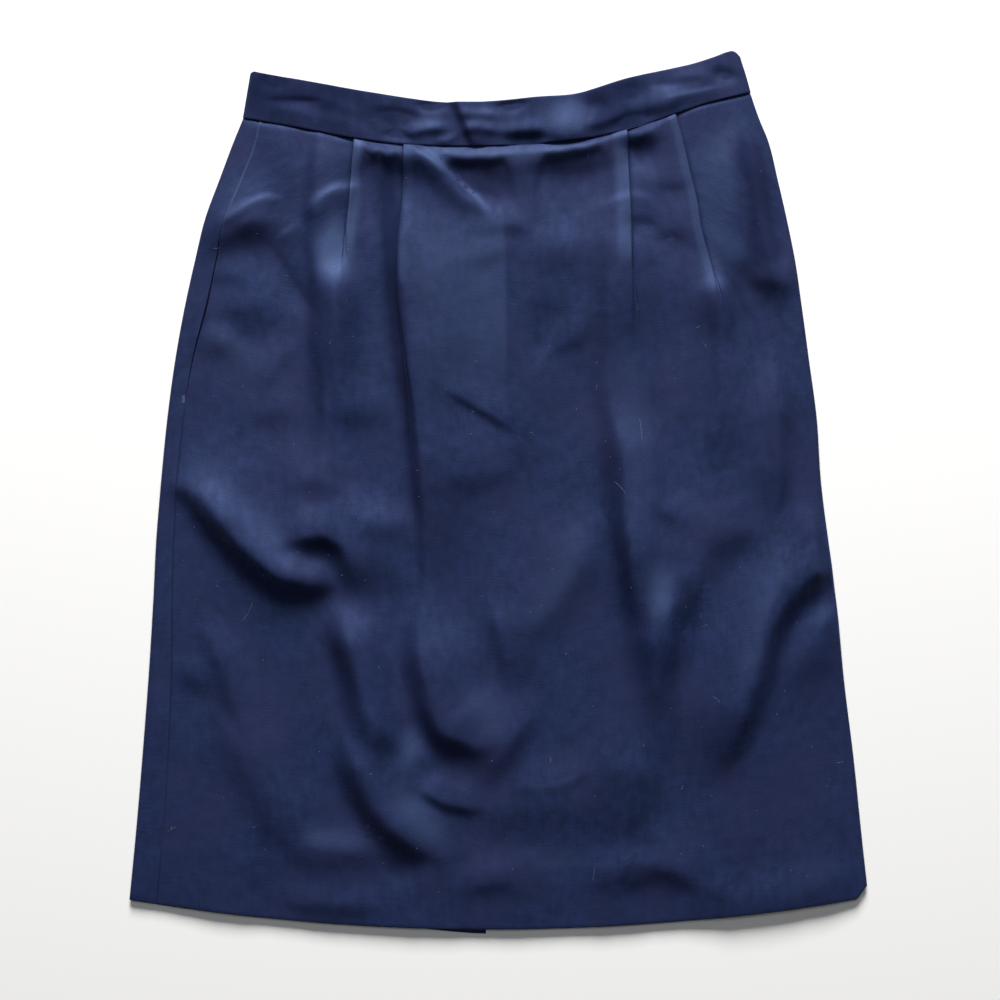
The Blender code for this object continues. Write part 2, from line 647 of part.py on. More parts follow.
def zip_pull(metal):
    """The pull tab. Its origin is the middle of the bar that the slider's bridge holds,
    and it hangs from there towards the hem."""
    half, tip, head = PULL_WIDTH / 2, PULL_TIP / 2, PULL_BAR_RADIUS
    eye_half, eye_foot = PULL_EYE_WIDTH / 2, -PULL_BAR_RADIUS - PULL_EYE_LENGTH
    shoulder = eye_foot - PULL_SHOULDER
    right = [(half, shoulder), (half, head - HEAD_CUT_LENGTH), (half - HEAD_CUT, head)]
    left = [(-x, y) for x, y in right[::-1]]
    side, end = TIP_CUT_LENGTH - PULL_LENGTH, -PULL_LENGTH
    outline = [*right, *left, (-tip, side), (TIP_CUT - tip, end), (tip - TIP_CUT, end), (tip, side)]
    side = eye_foot + EYE_CUT_FOOT
    right = [(eye_half, eye_foot + PULL_SHOULDER), (eye_half, -head - EYE_CUT)]
    right.append((eye_half - EYE_CUT, -head))
    left = [(-x, y) for x, y in right[::-1]]
    foot = [(EYE_CUT_FOOT - eye_half, eye_foot), (eye_half - EYE_CUT_FOOT, eye_foot)]
    eye = [*right, *left, (-eye_half, side), *foot, (eye_half, side)]
    tab = add_mesh("zip_pull", *plate_ring(outline, eye, PULL_WALL), metal)
    tab.location = (centre_back(SLIDER_Y) * MM, SLIDER_Y * MM, PULL_BAR_Z * MM)
    tab.rotation_euler = (math.radians(PULL_DROOP), 0, 0)


def waist_button(plastic):
    """A flat button with a dished face, under the end of the waistband."""
    x = BACK_TOP_X - BUTTON_IN
    y = waist(x) + BUTTON_UP
    turn = np.arange(BUTTON_SIDES) * 2 * math.pi / BUTTON_SIDES
    rings = []
    for size, up in BUTTON_PROFILE:
        radius = BUTTON_RADIUS * size
        height = np.full(BUTTON_SIDES, BUTTON_TOP - BUTTON_THICK * (1 - up))
        rings.append(np.column_stack([x + radius * np.cos(turn), y + radius * np.sin(turn), height]))
    add_mesh("waist_button", *stacked(rings), plastic)


def main():
    for old in list(bpy.data.objects):
        bpy.data.objects.remove(old)
    cloth = make_material("navy_wool", (0.022, 0.032, 0.09), 0.85)
    lining = make_material("pocket_cotton", (0.018, 0.026, 0.07), 0.8)
    tape = make_material("zip_tape", (0.015, 0.022, 0.06), 0.75)
    metal = make_material("zip_metal", (0.03, 0.035, 0.06), 0.4, 0.9)
    plastic = make_material("button_navy", (0.012, 0.018, 0.045), 0.35)
    front_panel(cloth)
    back_panels(cloth)
    waistband(cloth)
    pocket_bag(lining)
    zip_tape("zip_tape_left", -1, tape)
    zip_tape("zip_tape_right", 1, tape)
    zip_slider(metal)
    zip_pull(metal)
    waist_button(plastic)


main()
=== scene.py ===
# %% [markdown]
# # A navy wool pencil skirt, laid flat on its back
# A pencil skirt is a narrow tube of cloth that hangs from a waistband. This one is laid on a
# table with its front up. Its front panel has four knife pleats under the waistband, its left
# side seam holds a pocket, and a zip and a vent are in the centre back, underneath.
#
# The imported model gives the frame: where each panel lies, and how thick the pile of layers is.
# This lesson makes the cloth itself, as thin walls worked out from formulas with numpy, and
# gives it its weave, its creases and its small parts. Sizes are in millimetres up to the
# moment a mesh is made, because a maker of clothes thinks in millimetres.

# %% The frame
import math

import bpy
import numpy as np
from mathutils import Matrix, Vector
from mathutils.bvhtree import BVHTree


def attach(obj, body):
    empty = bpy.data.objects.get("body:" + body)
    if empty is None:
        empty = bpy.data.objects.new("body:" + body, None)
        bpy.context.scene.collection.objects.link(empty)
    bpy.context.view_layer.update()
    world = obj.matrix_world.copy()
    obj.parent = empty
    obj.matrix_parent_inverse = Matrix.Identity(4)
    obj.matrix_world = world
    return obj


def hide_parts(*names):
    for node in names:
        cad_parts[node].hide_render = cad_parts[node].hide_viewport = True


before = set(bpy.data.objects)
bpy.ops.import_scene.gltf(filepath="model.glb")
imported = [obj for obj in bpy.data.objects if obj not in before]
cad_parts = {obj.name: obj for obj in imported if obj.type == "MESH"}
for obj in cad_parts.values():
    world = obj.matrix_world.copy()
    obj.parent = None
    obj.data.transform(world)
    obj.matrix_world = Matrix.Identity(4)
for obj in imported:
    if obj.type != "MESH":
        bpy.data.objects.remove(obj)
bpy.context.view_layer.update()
MM = 0.001
print("nodes:", ", ".join(sorted(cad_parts)))

# %% [markdown]
# ## Tools of the trade
# A few small helpers carry the whole lesson. A table holds given sizes in named columns.
# `smooth` fades something in between two places. `curve` draws a smooth line through the
# rows of a table, as a cutter's French curve does. `spline` does the same through points in
# the plane, for lines that turn back on themselves, and `between` fills in even columns.


# %% Tables, fades and curves
def table(names, rows):
    """The rows as one array for each named column."""
    return dict(zip(names.split(), np.array(rows, float).T, strict=True))


def rows_of(columns):
    """The rows of a table, one by one."""
    return zip(*columns.values(), strict=True)


def smooth(start, end, value):
    """0 at start and 1 at end: 3t² − 2t³ of the share t of the way. start may be above end."""
    t = np.clip((value - start) / (end - start), 0.0, 1.0)
    return t * t * (3 - 2 * t)


PAST_ENDS = 0.2  # of the last span, where a line may run on


def curve(xs, ys, x):
    """A smooth line through the points: a cubic in each span, with the slope at a point
    that of the line through its neighbours."""
    slopes = np.gradient(ys, xs)
    i = np.clip(np.searchsorted(xs, x) - 1, 0, len(xs) - 2)
    span = xs[i + 1] - xs[i]
    t = np.clip((x - xs[i]) / span, -PAST_ENDS, 1 + PAST_ENDS)
    first, last = slopes[i] * span, slopes[i + 1] * span
    line = ys[i] * (1 + 2 * t) * (1 - t) ** 2 + ys[i + 1] * (3 - 2 * t) * t**2
    return line + first * t * (1 - t) ** 2 - last * t**2 * (1 - t)


def spline(points, count):
    """count points along a smooth line through the given ones, by the length of its chords."""
    points = np.array(points, float)
    run = np.concatenate([[0], np.cumsum(np.linalg.norm(np.diff(points, axis=0), axis=1))])
    at = np.linspace(0, run[-1], count)
    return np.stack([curve(run, column, at) for column in points.T], axis=1)


def between(first, last, count):
    """count columns between two columns, evenly spaced."""
    return first + (last - first) * np.arange(1, count + 1) / (count + 1)


print("a fade over ten steps:", smooth(0, 10, np.arange(11)).round(2))

# %% [markdown]
# ## Cloth as a thin wall
# Real cloth has two faces and an edge, and light falls differently on each, so no panel here
# is a single sheet. A grid of points runs through the middle of the cloth. The outer face lies
# half a wall out along the grid's normals, and the inner face lies in. The inner face is
# hardly seen, so it keeps only some of the rows and columns, and the triangles are saved for
# the face that shows. The rim joins the fine edge to the coarse one.
#
# Each point also keeps its place on the flat, uncut cloth. That becomes the UV map, so the
# weave follows every fold instead of being painted from above.


# %% Walls from grids
def grid_faces(ids):
    """Four-cornered faces between the rows and columns of a grid. They face whoever sees the
    rows run down and the columns run right."""
    corners = [ids[:-1, :-1], ids[1:, :-1], ids[1:, 1:], ids[:-1, 1:]]
    return np.stack(corners, axis=-1).reshape(-1, 4)


def loop_faces(rows, columns):
    """Faces between closed loops of points, one loop to a row, and a cap on each end."""
    ids = np.arange(rows * columns).reshape(rows, columns)
    faces = grid_faces(np.hstack([ids, ids[:, :1]])).tolist()
    return [*faces, ids[0].tolist(), ids[-1, ::-1].tolist()]


def grid_normals(points):
    """Unit normals of a grid: the way down its rows, crossed with the way along them."""
    normal = np.cross(np.gradient(points, axis=0), np.gradient(points, axis=1))
    return normal / np.maximum(np.linalg.norm(normal, axis=2, keepdims=True), 1e-9)


def flat_places(points, middle_column):
    """Where each point of a grid lies on the flat cloth: its distance along its row from one
    column, and its distance down its own column."""
    across = np.linalg.norm(np.diff(points, axis=1), axis=2)
    down = np.linalg.norm(np.diff(points, axis=0), axis=2)
    across = np.concatenate([np.zeros((len(points), 1)), np.cumsum(across, axis=1)], axis=1)
    down = np.concatenate([np.zeros((1, points.shape[1])), np.cumsum(down, axis=0)], axis=0)
    across -= across[:, [middle_column]]
    return np.stack([across, -down], axis=2)


def print_cut(name, points):
    """The size of the flat piece of cloth that the grid was made from."""
    across, down = np.diff(points, axis=1)[:-1], np.diff(points, axis=0)[:, :-1]
    area = np.linalg.norm(np.cross(across, down), axis=2).sum()
    width = np.linalg.norm(across, axis=2).sum(axis=1).max()
    length = np.linalg.norm(down, axis=2).sum(axis=0).max()
    print(f"{name}: cut {width:.0f} × {length:.0f} mm, area {area / 100:.0f} cm²")


def rim_faces(fine, coarse, keep):
    """Faces that join a fine edge to a coarse one, whose point k meets fine point keep[k]."""
    pairs = zip(keep[:-1], keep[1:], coarse[:-1], coarse[1:], strict=True)
    return [[*fine[a : b + 1], d, c] for a, b, c, d in pairs]


def shell_faces(rows, columns, keep_rows, keep_columns):
    """Faces of a closed wall: an outer grid, a coarser inner grid, and the rim round them."""
    outer = np.arange(rows * columns).reshape(rows, columns)
    inner = rows * columns + np.arange(len(keep_rows) * len(keep_columns))
    inner = inner.reshape(len(keep_rows), len(keep_columns))
    faces = grid_faces(outer).tolist() + grid_faces(inner)[:, ::-1].tolist()
    back_rows, back_columns = rows - 1 - keep_rows[::-1], columns - 1 - keep_columns[::-1]
    faces += rim_faces(outer[0], inner[0], keep_columns)
    faces += rim_faces(outer[:, -1], inner[:, -1], keep_rows)
    faces += rim_faces(outer[-1, ::-1], inner[-1, ::-1], back_columns)
    faces += rim_faces(outer[::-1, 0], inner[::-1, 0], back_rows)
    return faces


def every(count, step):
    """Every step-th of count places, and the last one."""
    return np.unique(np.append(np.arange(0, count, step), count - 1))


# %% Meshes from points
SHARP_ANGLE = math.radians(50)


def add_piece(name, points, faces, material, flat=None, sharp=SHARP_ANGLE):
    """A smooth-shaded mesh object at the origin, from points in millimetres. flat gives each
    point's place on the flat cloth, which becomes the UV map."""
    mesh = bpy.data.meshes.new(name)
    mesh.from_pydata((np.asarray(points, float) * MM).tolist(), [], faces)
    if flat is not None:
        corners = np.empty(len(mesh.loops), np.int32)
        mesh.loops.foreach_get("vertex_index", corners)
        places = (np.asarray(flat, float).reshape(-1, 2) * MM)[corners]
        mesh.uv_layers.new(name="cloth").data.foreach_set("uv", places.ravel().astype(np.float32))
    mesh.shade_smooth()
    mesh.set_sharp_from_angle(angle=sharp)
    mesh.materials.append(material)
    piece = bpy.data.objects.new(name, mesh)
    bpy.context.scene.collection.objects.link(piece)
    mesh.calc_loop_triangles()
    print(f"{name}: {len(mesh.loop_triangles)} triangles")
    return piece


def add_marks(piece, marks):
    """Keep for each of the first points its painted highlight and painted shade, partly its nap."""
    values = np.zeros(len(piece.data.vertices), np.float32)
    values[: marks.size] = marks.ravel()
    piece.data.attributes.new("nap_and_painted_light", "FLOAT", "POINT").data.foreach_set("value", values)


def add_shell(name, middle, wall, material, inner=None, row_step=1, keep_columns=None, column=0):
    """A wall of cloth round a grid of middle points. inner is how far the inner face lies
    from them, half the wall unless it is given."""
    rows, columns = middle.shape[:2]
    keep_rows = every(rows, row_step)
    keep_columns = np.arange(columns) if keep_columns is None else keep_columns
    kept = np.ix_(keep_rows, keep_columns)
    normals, flat = grid_normals(middle), flat_places(middle, column)
    depth = np.broadcast_to(wall / 2 if inner is None else inner, (rows, columns))[..., None]
    outer, inside = middle + normals * wall / 2, (middle - normals * depth)[kept]
    points = np.concatenate([outer.reshape(-1, 3), inside.reshape(-1, 3)])
    places = np.concatenate([flat.reshape(-1, 2), flat[kept].reshape(-1, 2)])
    faces = shell_faces(rows, columns, keep_rows, keep_columns)
    print_cut(name, middle)
    return add_piece(name, points, faces, material, places)


# %% [markdown]
# ## The outline
# The frame fixes the outline: the edges of the tube as it lies, the waist seam, the top of the
# waistband and the hem. The skirt is twisted a little on the table, so its left side seam has
# come up on top by a finger's width, and the right one has gone underneath by as much. The
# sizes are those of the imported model, so that each piece of cloth lies where its solid does.

# %% Edges and seams
EDGES = table(
    "y left right seam_in",
    [(-292, -266.0, 266.0, 19), (-251, -262.0, 261.5, 19), (-193, -257.0, 255.5, 18),
     (-136, -252.6, 248.5, 16), (-78, -249.0, 242.7, 13), (-35, -246.9, 237.0, 12),
     (8, -243.3, 231.9, 11), (52, -239.0, 229.0, 11), (95, -233.2, 223.3, 12),
     (138, -225.3, 217.5, 15), (167, -218.8, 213.2, 15), (196, -211.6, 207.4, 14),
     (224, -201.5, 201.0, 15), (253, -190.7, 193.8, 15), (269, -184.2, 187.3, 12),
     (288, -178.0, 180.8, 11)],
)
WAIST_SEAM = table(
    "x y",
    [(-184, 269.0), (-146, 262.1), (-111, 255.4), (-70, 249.7), (-22, 248.0), (28, 249.7), (69, 254.6),
     (103, 263.5), (152, 280.1), (181, 287.3)],
)
WAIST_LEFT, WAIST_RIGHT = WAIST_SEAM["x"][[0, -1]]
BAND_TOP = table(
    "x y",
    [(-178, 303.2), (-118, 292.4), (-84, 286.3), (-37, 279.9), (-8, 280.6), (28, 284.0), (54, 286.0),
     (94, 298.1), (124, 304.8), (140, 308.6), (156, 313.8), (165, 317.2), (168, 317.8), (170.5, 316.9),
     (174, 313.4)],
)
BAND_TOP_LEFT, BAND_TOP_RIGHT = -178.5, 173.5
HEM_SIDE, HEM_SAG, HEM_HALF, HEM_TILT = -292.5, 22.0, 266.0, 1.0
HEM_CORNER, HEM_CORNER_RISE = 9.0, 8.0
HEM_DEPTH = 45.0
BACK_TOP_X, BACK_TOP_Y, BACK_HEM_X, BACK_HEM_Y = -14.3, 248.0, -9.3, -318.2
BACK_LENGTH = BACK_TOP_Y - BACK_HEM_Y
BACK_DROP, BACK_DROP_REACH = 3.4, 62.0
HEM_SHARE = 1 - HEM_DEPTH / BACK_LENGTH


def line_of(rows, along, value):
    """The function that draws a smooth line through two columns of a table."""
    return lambda place: curve(rows[along], rows[value], place)


left_edge, right_edge, seam_in = (line_of(EDGES, "y", name) for name in ("left", "right", "seam_in"))
waist, band_top = line_of(WAIST_SEAM, "x", "y"), line_of(BAND_TOP, "x", "y")


def front_hem(x):
    """A shallow arc, with the right corner cut off."""
    arc = HEM_SIDE - HEM_SAG * (1 - (x / HEM_HALF) ** 2) + HEM_TILT * x / HEM_HALF
    return arc + HEM_CORNER_RISE * smooth(HEM_HALF - HEM_CORNER, HEM_HALF, x)


def back_hem(x):
    """The same arc, except near the vent, where the left panel hangs lower."""
    drop = BACK_DROP * smooth(BACK_HEM_X - BACK_DROP_REACH, BACK_HEM_X, x)
    return front_hem(x) - drop * (x < BACK_HEM_X)


def centre_back(y):
    """A straight line from the waist seam to the hem, a little aslant."""
    return BACK_TOP_X + (BACK_HEM_X - BACK_TOP_X) * (BACK_TOP_Y - y) / BACK_LENGTH


print("waist across, mm:", WAIST_RIGHT - WAIST_LEFT, " hem across, mm:", 2 * HEM_HALF)

# %% [markdown]
# ## Layers
# The back lies on the table and the front lies on it, with a little air between. The frame
# gives the heights of both, which are those of a garment that has settled under its own
# weight. The wool itself is thinner than its solids, so each wall is drawn up against the
# outer face of its solid.

# %% Heights of the layers
CLOTH, GAP, LAY, ARCH = 1.0, 0.3, 3.3, 1.0
WOOL = 0.7
HEM_WOOL = 1.5
EDGE_TURN = (LAY + CLOTH) / 2
CLOSURE_RISE, CLOSURE_HALF, CLOSURE_FULL, CLOSURE_GONE = 3.2, 75.0, 20.0, 78.0
SLIDER_BELOW = 9.0
SLIDER_Y = BACK_TOP_Y - SLIDER_BELOW
GAPE, GAPE_HALF = 1.5, 16.0
BAG_WIDTH, BAG_BOTTOM, BAG_MARGIN = 130.0, -8.0, 6.0


def closure_rise(x, y):
    """How far the back layer stands off the table at the top of the centre back."""
    across = np.clip((x - BACK_TOP_X) / CLOSURE_HALF, -1, 1)
    rise = smooth(CLOSURE_GONE, CLOSURE_FULL, BACK_TOP_Y - y)
    return CLOSURE_RISE * (1 - across**2) ** 2 * rise


def gape(y):
    """How far each side of the centre back seam stands back round the zip's slider."""
    return GAPE * np.clip(1 - ((SLIDER_Y - y) / GAPE_HALF) ** 2, 0, 1)


def over_bag(x, y):
    """1 where the pocket bag lies, 0 past its margin."""
    beside = smooth(BAG_WIDTH + BAG_MARGIN, BAG_WIDTH, x - left_edge(y))
    return beside * smooth(BAG_BOTTOM - BAG_MARGIN, BAG_BOTTOM, y)


print("room for the button and the pull tab, mm:", CLOSURE_RISE)

# %% [markdown]
# ## Creases
# Wool that has been worn and put down keeps soft ridges and hollows, and no two are alike.
# They could be left to a cloth simulation, but that would put them anywhere. Here each crease
# is given: a smooth line that it follows, its height, its width on the left and on the
# right of that line, and how much of its length it needs to swell at each end, where that is
# not the usual third. Then come the points of the line. A narrow side is steep and throws a
# shadow, and a wide side lies open to the light. A negative height is a hollow.


# %% A crease and its relief
LINE_POINTS = 48
USUAL_ENDS = (0.35, 0.35)
REACH = 2.6
NARROWEST = 0.45
SHORTEST, LONGEST = 4.0, 18.0
BLEND = 8


def relief(x, y, creases):
    """The summed height of the creases. A crease is a row of bells along its line, each
    exp(−(across / width)² − (along / length)²), as narrow to its left and right as it says.
    They swell over its first and last share, and a high power mean melts them together."""
    total = np.zeros(x.shape)
    share = np.linspace(0, 1, LINE_POINTS)
    for crease in creases:
        sizes = [value for value in crease if not isinstance(value, tuple)]
        height, left, right, first, last = (*sizes, *USUAL_ENDS)[:5]
        line = spline(crease[len(sizes) :], LINE_POINTS)
        length = np.clip((left + right) / 2, SHORTEST, LONGEST)
        reach = REACH * max(left, right, length)
        low, high = line.min(axis=0) - reach, line.max(axis=0) + reach
        near = (x > low[0]) & (x < high[0]) & (y > low[1]) & (y < high[1])
        offset = np.stack([x[near], y[near]], axis=1)[:, None] - line
        way = np.gradient(line, axis=0)
        step = np.linalg.norm(way, axis=1)
        way /= step[:, None]
        across = way[:, 0] * offset[..., 1] - way[:, 1] * offset[..., 0]
        along = (offset * way).sum(axis=2)
        swell = smooth(0, first, share) * smooth(1, 1 - last, share)
        width = np.where(across > 0, left, right) * (NARROWEST + (1 - NARROWEST) * swell)
        bells = swell * np.exp(-((across / width) ** 2) - (along / length) ** 2)
        beside = np.arange(-LINE_POINTS, LINE_POINTS) * step.mean() / length
        crowd = np.exp(-BLEND * beside**2).sum()
        total[near] += height * ((bells**BLEND).sum(axis=1) / crowd) ** (1 / BLEND)
    return total


print(f"one width away, {math.exp(-1):.0%} of a crease's height is left")

# %% The creases of the front
HIP = [
    (4.4, 50, 11, 0.25, 0.25, (-238, 4), (-219, -2), (-200, -20), (-182, -40), (-163, -57),
     (-145, -65), (-124, -68)),
    (4.0, 14, 10, 0.4, 0.1, (-240, 4), (-219, -1), (-200, -19), (-182, -39), (-163, -55), (-145, -63),
     (-119, -66)),
    (5.4, 30, 10, 0.25, 0.3, (-149, -34), (-138, -31), (-124, -31), (-111, -39), (-105, -54), (-106, -70)),
    (2.8, 26, 13, (-141, 9), (-133, 11), (-125, 8)),
    (4.4, 26, 13, 0.3, 0.3, (-206, 180), (-192, 190), (-178, 195), (-164, 193)),
    (0.9, 3, 5, 0.2, 0.2, (-200, 190), (-188, 202), (-174, 208.5), (-156, 210)),
    (-1.2, 6, 12, 0.3, 0.4, (-168, 180), (-158, 162), (-146, 142), (-134, 128)),
    (0.6, 3, 8, 0.3, 0.3, (-158, 180), (-150, 187), (-141, 195)),
    (2.7, 22, 8, 0.08, 0.35, (-129, 256), (-129, 240), (-130, 210), (-131, 185), (-129, 150),
     (-127, 120), (-124, 80), (-125, 40), (-127, -4)),
    (1.4, 14, 16, 0.2, 0.4, (-158, 262), (-157, 235), (-153, 210)),
    (1.6, 26, 14, 0.5, 0.5, (-204, 130), (-180, 136), (-158, 130)),
    (1.3, 10, 10, 0.4, 0.4, (-212, 106), (-203, 109), (-193, 104)),
    (0.9, 14, 8, (-208, 158), (-196, 158), (-186, 156)),
    (1.1, 16, 8, (-172, 76), (-160, 94), (-148, 104)),
    (1.3, 22, 12, 0.5, 0.5, (-184, 54), (-162, 60), (-146, 58)),
    (1.3, 18, 11, 0.5, 0.5, (-124, 54), (-102, 60), (-86, 54)),
    (1.3, 4, 12, 0.2, 0.1, (-138, 200), (-130, 209), (-118, 216), (-106, 219)),
    (4.2, 15, 13, 0.08, 0.85, (-118, 156), (-117, 130), (-114, 95), (-110, 50)),
    (1.8, 13, 12, 0.5, 0.4, (-110, -8), (-86, -23), (-64, -22)),
]
CENTRE = [
    (5.2, 34, 8, 0.25, 0.4, (-68, 230), (-69, 190), (-69, 150), (-66, 110), (-61, 75), (-57, 45),
     (-54, 10), (-52, -30), (-52, -66), (-53, -96)),
    (-3.0, 12, 26, 0.2, 0.1, (-97, 225), (-84, 222), (-70, 223)),
    (-3.2, 15, 12, 0.25, 0.3, (-34, 232), (-18, 223), (-3, 215), (10, 206)),
    (-2.4, 12, 30, 0.3, 0.2, (24, 226), (50, 225), (78, 230)),
    (2.9, 4, 10, 0.1, 0.5, (-62, 246), (-42, 231), (-26, 215), (-8, 198)),
    (1.2, 22, 7, (-8, 190), (4, 193), (16, 190)),
    (0.9, 14, 8, (-24, 168), (-8, 172), (4, 178)),
    (1.4, 13, 18, (26, 178), (42, 176), (60, 180)),
    (2.4, 26, 24, 0.4, 0.4, (-42, 190), (-38, 130), (-38, 60)),
    (0.7, 6, 12, 0.3, 0.4, (4, 200), (4, 130), (4, 60)),
    (1.3, 18, 4.5, 0.15, 0.15, (-32, 73), (-14, 61), (6, 48)),
    (1.2, 28, 12, 0.4, 0.3, (-40, 6), (-20, 13), (4, 17)),
    (0.8, 10, 9, 0.5, 0.5, (36, 100), (54, 112), (70, 136)),
    (-1.0, 8, 10, (46, 142), (34, 118), (24, 92)),
    (2.2, 34, 16, 0.4, 0.4, (-2, -106), (24, -94), (42, -74), (58, -44), (70, -6)),
    (2.2, 20, 8, (-4, -80), (2, -108), (10, -138)),
]
RIGHT = [
    (2.6, 30, 12, 0.2, 0.3, (84, 205), (83, 160), (81, 120), (81, 90), (83, 60), (88, 30)),
    (5.2, 24, 11, 0.25, 0.35, (84, 64), (86, 42), (90, 15), (93, -10), (95, -35), (97, -60),
     (99, -82), (100, -94)),
    (2.8, 18, 8, 0.4, 0.15, (91, -10), (93, -40), (95, -66), (97, -88)),
    (3.4, 15, 15, 0.3, 0.8, (103, -92), (108, -108), (110, -130), (108, -160)),
    (5.8, 17, 18, 0.1, 0.9, (117, -82), (118, -102), (116, -135), (112, -180)),
    (2.8, 50, 16, 0.3, 0.35, (128, -92), (134, -74), (141, -53), (152, -37), (169, -30), (192, -27)),
    (1.6, 40, 9, (128, -94), (133, -78), (138, -58)),
    (6.2, 32, 12, 0.3, 0.12, (150, -208), (167, -176), (178, -147), (187, -115), (198, -89),
     (211, -70), (226, -57), (250, -52)),
    (3.2, 12, 24, 0.5, 0.2, (212, -140), (222, -116), (234, -98), (250, -88)),
    (-2.4, 8, 16, 0.1, 0.4, (93, 246), (102, 245), (112, 248)),
    (0.8, 4.5, 14, 0.3, 0.3, (70, 200), (80, 207), (95, 210), (109, 207)),
    (-1.2, 6, 12, 0.3, 0.35, (96, 191), (104, 190), (112, 187)),
    (-1.2, 6, 14, (112, 180), (124, 180), (138, 174)),
    (-0.9, 5, 12, (116, 217), (126, 215), (134, 218)),
    (3.0, 9, 12, 0.1, 0.7, (155, 148), (160, 128), (163, 100)),
    (4.6, 8, 24, 0.3, 0.25, (168, 268), (177, 250), (181, 226), (184, 200), (190, 172), (197, 146)),
    (2.0, 14, 9, 0.4, 0.3, (186, 152), (198, 153), (213, 149)),
    (0.7, 4, 5, (164, 160), (175, 143), (184, 124)),
    (2.6, 20, 8, (162, 128), (160, 90), (158, 50), (154, 5)),
    (2.8, 8, 22, (200, 100), (200, 50), (201, 10), (198, -22)),
    (0.7, 7, 9, (134, 120), (132, 80), (134, 30)),
    (0.9, 16, 7, (117, -14), (126, -16), (135, -22)),
]
LOW = [
    (7.2, 22, 12, 0.25, 0.2, (-114, -84), (-110, -98), (-105, -114), (-99, -134), (-95, -154), (-90, -180)),
    (7.0, 32, 12, 0.45, 0.25, (-52, -66), (-55, -92), (-56, -112), (-51, -135), (-45, -158),
     (-36, -174), (-22, -180), (-4, -178)),
    (6.6, 24, 12, 0.25, 0.4, (-111, -172), (-101, -197), (-92, -217), (-81, -235), (-67, -249),
     (-52, -258), (-38, -262)),
    (1.8, 14, 12, 0.15, 0.6, (-63, -184), (-66, -200), (-68, -220)),
    (1.4, 12, 10, (-92, -178), (-83, -175), (-73, -180)),
    (2.0, 17, 5, 0.3, 0.35, (-58, -212), (-42, -221), (-28, -226), (-10, -227)),
    (2.2, 26, 14, 0.3, 0.3, (-202, -160), (-184, -186), (-173, -213), (-160, -238), (-138, -258)),
    (1.6, 15, 13, 0.35, 0.3, (-150, -258), (-120, -259), (-86, -258)),
    (1.8, 17, 9, (-214, -92), (-201, -120), (-189, -150), (-180, -178)),
    (1.0, 12, 8, (-232, -128), (-222, -132), (-212, -136)),
    (-1.4, 8, 8, (-78, -272), (-68, -274), (-58, -271)),
    (2.8, 26, 11, (-14, -208), (4, -183), (24, -158)),
    (0.9, 15, 5, 0.3, 0.3, (12, -212), (38, -211), (64, -201)),
    (2.4, 16, 40, 0.3, 0.3, (99, -192), (98, -215), (92, -242)),
    (1.6, 12, 30, (122, -132), (121, -160), (118, -195)),
    (2.6, 30, 10, 0.35, 0.2, (104, -266), (124, -271), (144, -279)),
    (1.8, 20, 24, 0.3, 0.2, (128, -296), (170, -293), (215, -288), (258, -280)),
    (1.3, 15, 9, (-160, -292), (-115, -297), (-80, -298)),
    (1.6, 16, 9, (-26, -283), (-8, -280), (12, -283)),
    (1.6, 16, 10, (70, -278), (90, -275), (108, -277)),
    (1.2, 22, 16, (-20, -230), (15, -228), (48, -230)),
]
FRONT_CREASES = HIP + CENTRE + RIGHT + LOW
print(len(FRONT_CREASES), "creases in the front")

# %% Small unevenness
WAVE_COUNT, SHORT_WAVE, LONG_WAVE, WAVE_SLOPE = 60, 7.0, 120.0, 0.0062
WANDER_COUNT, SHORT_WANDER, LONG_WANDER, WANDER_SLOPE = 8, 18.0, 70.0, 0.045
WAVE_STRETCH = 1.6
chance = np.random.default_rng(7)


def draw_waves(count, shortest, longest, slope):
    """Waves of many lengths. Each gets a heading and a start by chance, and a height that
    is its length times the slope."""
    lengths = np.geomspace(shortest, longest, count)
    turns, starts = chance.uniform(0, math.tau, (2, count))
    return list(zip(lengths, turns, starts, slope * lengths / math.tau, strict=True))


def ripples(x, y, waves):
    """The sum of the waves, each drawn out along the skirt's length."""
    height = np.zeros(x.shape)
    for length, turn, start, high in waves:
        way = (x * math.cos(turn) + y / WAVE_STRETCH * math.sin(turn)) / length
        height += high * np.sin(math.tau * way + start)
    return height


UNEVEN = draw_waves(WAVE_COUNT, SHORT_WAVE, LONG_WAVE, WAVE_SLOPE)
WANDER_X = draw_waves(WANDER_COUNT, SHORT_WANDER, LONG_WANDER, WANDER_SLOPE)
WANDER_Y = draw_waves(WANDER_COUNT, SHORT_WANDER, LONG_WANDER, WANDER_SLOPE)


def wander(x, y):
    """Places moved a little to and fro, so that no crease runs quite as it was drawn."""
    return x + ripples(x, y, WANDER_X), y + ripples(x, y, WANDER_Y)


print(f"{len(UNEVEN)} waves, {UNEVEN[0][0]:.0f} to {UNEVEN[-1][0]:.0f} mm long")

# %% [markdown]
# ## Knife pleats
# A knife pleat is an S in the cloth: the cloth runs out to a lip, turns back under itself, and
# turns out again. Two half circles and the flat runs between them give the section. Lower
# down the fold gets shallower, and where it has gone, its points spread out along a soft step
# that fades. All four lips face away from the centre, so the cloth between the two inner
# pleats lies on top.

